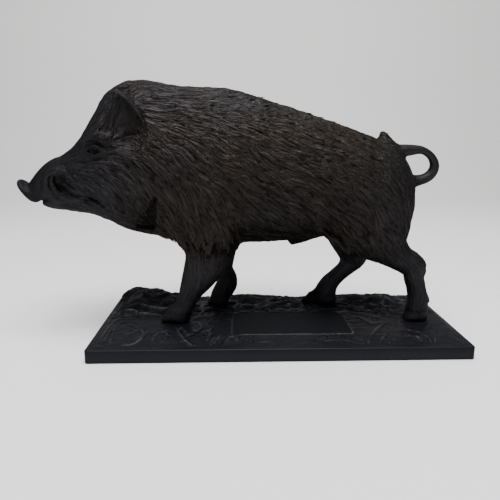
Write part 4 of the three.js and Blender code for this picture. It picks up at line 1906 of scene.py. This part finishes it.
@dataclass(frozen=True)
class Patina:
    """Brown-black sulphide patina on sand-cast bronze, waxed and rubbed.

    The wax gives a low satin sheen, the brush leaves the hollows dull and nearly black, and the
    crests are a little paler where hands have rubbed the brown thin. The crest values also carry
    painted shade, which darkens toward the hollow colour, and on the plinth a painted highlight,
    which pales toward the crest colour. Lengths are metres: the width of a hair's groove, how far
    it is drawn out to each side, its depth, and the size of the clouds in which the brown comes
    and goes. The pattern is read at a number of steps along the groove, and its mean counts as 0
    below dark and as 1 above light.
    """

    name: str
    hollow: str = "#171514"
    body: str = "#2f2a26"
    cool: str = "#2b2b30"
    crest: str = "#37322e"
    roughness: float = 0.52
    metallic: float = 0.88
    edge: float = 0.45
    strand: float = 0.0013
    reach: float = 0.0046
    bite: float = 0.0006
    cloud: float = 1 / 14
    steps: int = 11
    dark: float = 0.42
    light: float = 0.58

    def _streak(self, tree: bpy.types.NodeTree) -> bpy.types.NodeSocket:
        """Add a fine pattern drawn out along the lie of the hair.

        Args:
            tree: Node tree to add to.

        Returns:
            The socket with the pattern, from 0 in the grooves to 1.
        """
        place = node(tree, "ShaderNodeTexCoord", {}).outputs["Object"]
        flow = node(tree, "ShaderNodeAttribute", {}, attribute_name="hair_flow").outputs["Vector"]
        total, steps = None, self.steps
        for n in range(steps):
            shift = self.reach * (2 * n / (steps - 1) - 1)
            terms = {0: flow, 1: (shift, shift, shift), 2: place}
            moved = node(tree, "ShaderNodeVectorMath", terms, operation="MULTIPLY_ADD").outputs[0]
            grain = {"Vector": moved, "Scale": 1 / self.strand, "Detail": 0.0}
            value = node(tree, "ShaderNodeTexNoise", grain).outputs["Fac"]
            total = value if total is None else sums(tree, "ADD", total, value)
        limits = {"Value": total, "From Min": self.dark * steps, "From Max": self.light * steps}
        eased = node(tree, "ShaderNodeMapRange", limits, interpolation_type="SMOOTHSTEP")
        return eased.outputs["Result"]

    def material(self) -> bpy.types.Material:
        """Build the finish.

        Returns:
            The material; it reads the attributes hair_flow, hair_depth, crest and warmth.
        """
        material = bpy.data.materials.new(self.name)
        material.use_nodes = True
        tree = material.node_tree
        tree.nodes.clear()
        streak = self._streak(tree)
        depth = stored(tree, "hair_depth")
        crest = stored(tree, "crest")
        place = node(tree, "ShaderNodeTexCoord", {}).outputs["Object"]
        spread = {"Vector": place, "Scale": 1 / self.cloud, "Detail": 3.0, "Roughness": 0.6}
        cloud = node(tree, "ShaderNodeTexNoise", spread).outputs["Fac"]
        brown = sums(tree, "MULTIPLY", cloud, stored(tree, "warmth"), clamp=True)
        tone = mixed(tree, brown, linear(self.cool), linear(self.body))
        # Above 0 the crest values pale the colour: rubbed crests, and on the plinth a painted highlight;
        # below 0 they darken it: patina in hollows and painted shade
        wear_and_highlight = ranged(tree, crest, 0.1, 0.8)
        deep = ranged(tree, crest, 0.0, -0.7)
        groove = ranged(tree, streak, 0.5, 0.0, 0.45)
        dull = sums(tree, "MAXIMUM", deep, sums(tree, "MULTIPLY", groove, depth))
        paler = mixed(tree, wear_and_highlight, tone, linear(self.crest))
        colour = mixed(tree, dull, paler, linear(self.hollow))
        rough = sums(tree, "MULTIPLY_ADD", dull, 0.3, self.roughness)
        relief = sums(tree, "MULTIPLY", streak, depth)
        bump = node(tree, "ShaderNodeBump", {"Height": relief, "Strength": 1.0, "Distance": self.bite})
        shader = node(
            tree,
            "ShaderNodeBsdfPrincipled",
            {
                "Base Color": colour,
                "Metallic": self.metallic,
                "Roughness": rough,
                "Specular Tint": (self.edge, self.edge, self.edge, 1.0),
                "Normal": bump.outputs["Normal"],
            },
        )
        node(tree, "ShaderNodeOutputMaterial", {"Surface": shader.outputs["BSDF"]})
        return material


def node(
    tree: bpy.types.NodeTree,
    kind: str,
    inputs: dict[str | int, object],
    **settings: object,
) -> bpy.types.Node:
    """Add a node, set its properties and fill its inputs with values or links.

    Args:
        tree: Node tree to add to.
        kind: Node type.
        inputs: Values or output sockets, by input name or number.
        **settings: Properties of the node.

    Returns:
        The new node.
    """
    made = tree.nodes.new(kind)
    for key, value in settings.items():
        setattr(made, key, value)
    for key, value in inputs.items():
        if isinstance(value, bpy.types.NodeSocket):
            tree.links.new(value, made.inputs[key])
        else:
            made.inputs[key].default_value = value
    return made


def stored(tree: bpy.types.NodeTree, name: str) -> bpy.types.NodeSocket:
    """Return a number that the mesh stores for each vertex."""
    return node(tree, "ShaderNodeAttribute", {}, attribute_name=name).outputs["Fac"]


def sums(
    tree: bpy.types.NodeTree,
    kind: str,
    *values: object,
    clamp: bool = False,
) -> bpy.types.NodeSocket:
    """Return the outcome of a sum on values or sockets."""
    inputs = dict(enumerate(values))
    return node(tree, "ShaderNodeMath", inputs, operation=kind, use_clamp=clamp).outputs[0]


def mixed(tree: bpy.types.NodeTree, share: object, first: object, second: object) -> bpy.types.NodeSocket:
    """Return a mix of two colours, the first where the share is 0."""
    inputs = {0: share, 6: first, 7: second}
    return node(tree, "ShaderNodeMix", inputs, data_type="RGBA").outputs[2]


def ranged(
    tree: bpy.types.NodeTree,
    value: bpy.types.NodeSocket,
    low: float,
    high: float,
    top: float = 1.0,
) -> bpy.types.NodeSocket:
    """Return a value spread from 0 at low to top at high."""
    inputs = {"Value": value, "From Min": low, "From Max": high, "To Max": top}
    return node(tree, "ShaderNodeMapRange", inputs).outputs["Result"]


@dataclass(frozen=True)
class Viewpoint:
    """Camera that looks at the near flank from a little above."""

    place: tuple[float, float, float] = (-35.3, -410.2, 168.4)
    yaw: float = 1.76
    pitch: float = 13.0
    roll: float = 0.12
    lens: float = 35.5
    sensor: float = 36.0
    nearest: float = 0.01

    def build(self) -> None:
        """Place the camera and make it the scene's."""
        yaw, pitch, roll = (math.radians(angle) for angle in (self.yaw, self.pitch, self.roll))
        ahead = Vector((math.sin(yaw) * math.cos(pitch), math.cos(yaw) * math.cos(pitch), -math.sin(pitch)))
        right = Vector((math.cos(yaw), -math.sin(yaw), 0.0))
        up = right.cross(ahead)
        rolled_right = right * math.cos(roll) + up * math.sin(roll)
        rolled_up = up * math.cos(roll) - right * math.sin(roll)
        turn = Matrix((rolled_right, rolled_up, -ahead)).transposed()
        data = bpy.data.cameras.new("camera")
        data.lens = self.lens
        data.sensor_width = self.sensor
        data.clip_start = self.nearest
        camera = bpy.data.objects.new("camera", data)
        camera.matrix_world = Matrix.Translation(Vector(self.place) * MM) @ turn.to_4x4()
        bpy.context.scene.collection.objects.link(camera)
        bpy.context.scene.camera = camera


@dataclass(frozen=True)
class Lamp:
    """A square soft light: place and aim in metres, side in metres, power in watts."""

    name: str
    place: tuple[float, float, float]
    aim: tuple[float, float, float]
    side: float
    power: float
    colour: str = "#ffffff"

    def build(self) -> None:
        """Place the light and turn it to its aim."""
        data = bpy.data.lights.new(self.name, "AREA")
        data.energy = self.power
        data.size = self.side
        data.color = linear(self.colour)[:3]
        lamp = bpy.data.objects.new(self.name, data)
        toward = Vector(self.aim) - Vector(self.place)
        lamp.rotation_euler = toward.to_track_quat("-Z", "Y").to_euler()
        lamp.location = self.place
        bpy.context.scene.collection.objects.link(lamp)


@dataclass(frozen=True)
class Studio:
    """Pale floor swept up into a pale wall, with soft light from above."""

    floor_colour: str = "#f1f1f0"
    half_width: float = 2.5
    front: float = -1.5
    back: float = 0.9
    sweep: float = 0.35
    bend_steps: int = 12
    height: float = 1.8
    sky: float = 0.34
    lamps: tuple[Lamp, ...] = (
        Lamp("overhead", (0.0, -0.25, 1.25), (0.0, 0.0, 0.05), 0.9, 30.0),
        Lamp("front", (-0.8, -1.4, 0.7), (0.0, 0.0, 0.1), 0.8, 2.2),
        Lamp("wall", (0.0, 0.3, 1.9), (0.0, 1.2, 0.5), 1.2, 4.5),
    )

    def floor(self) -> None:
        """Build the floor with its curved rise to the wall."""
        profile = [(self.front, 0.0)]
        for n in range(self.bend_steps + 1):
            angle = math.pi / 2 * n / self.bend_steps
            rise = self.sweep * (1 - math.cos(angle))
            profile.append((self.back + self.sweep * math.sin(angle), rise))
        profile.append((self.back + self.sweep, self.height))
        vertices = [(x, y, z) for x in (-self.half_width, self.half_width) for y, z in profile]
        count = len(profile)
        faces = [(i, i + count, i + count + 1, i + 1) for i in range(count - 1)]
        mesh = bpy.data.meshes.new("floor")
        mesh.from_pydata(vertices, [], faces)
        mesh.shade_smooth()
        floor = bpy.data.objects.new("floor", mesh)
        bpy.context.scene.collection.objects.link(floor)
        material = bpy.data.materials.new("pale_paper")
        material.use_nodes = True
        shader = material.node_tree.nodes["Principled BSDF"]
        shader.inputs["Base Color"].default_value = linear(self.floor_colour)
        shader.inputs["Roughness"].default_value = 0.8
        mesh.materials.append(material)

    def build(self) -> None:
        """Build the floor and hang the lights."""
        self.floor()
        for lamp in self.lamps:
            lamp.build()
        world = bpy.data.worlds.new("soft")
        world.use_nodes = True
        background = world.node_tree.nodes["Background"]
        background.inputs["Color"].default_value = linear("#ffffff")
        background.inputs["Strength"].default_value = self.sky
        bpy.context.scene.world = world


def main() -> None:
    """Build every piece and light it."""
    logging.basicConfig(level=logging.INFO, format="%(name)s: %(message)s")
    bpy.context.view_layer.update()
    Viewpoint().build()
    Studio().build()
    # The plinth's pale crest colour paints the highlight along the plate's lip and pales the raised strokes
    ground_finish = Patina(
        "plinth_patina",
        body="#232226",
        cool="#1d1f25",
        hollow="#15161a",
        crest="#5a5a5d",
        roughness=0.5,
        edge=0.56,
    )
    low, high = frame_box("plinth")
    length, depth, _ = high - low
    sole = frame_box("boar")[0][2]
    pieces = Plinth(length, depth).build(ground_finish)
    pieces += Boar(sole).build(Patina("boar_patina"))
    for piece in pieces:
        log.info("%s: %d faces", piece.name, len(piece.data.polygons))


if __name__ == "__main__":
    main()
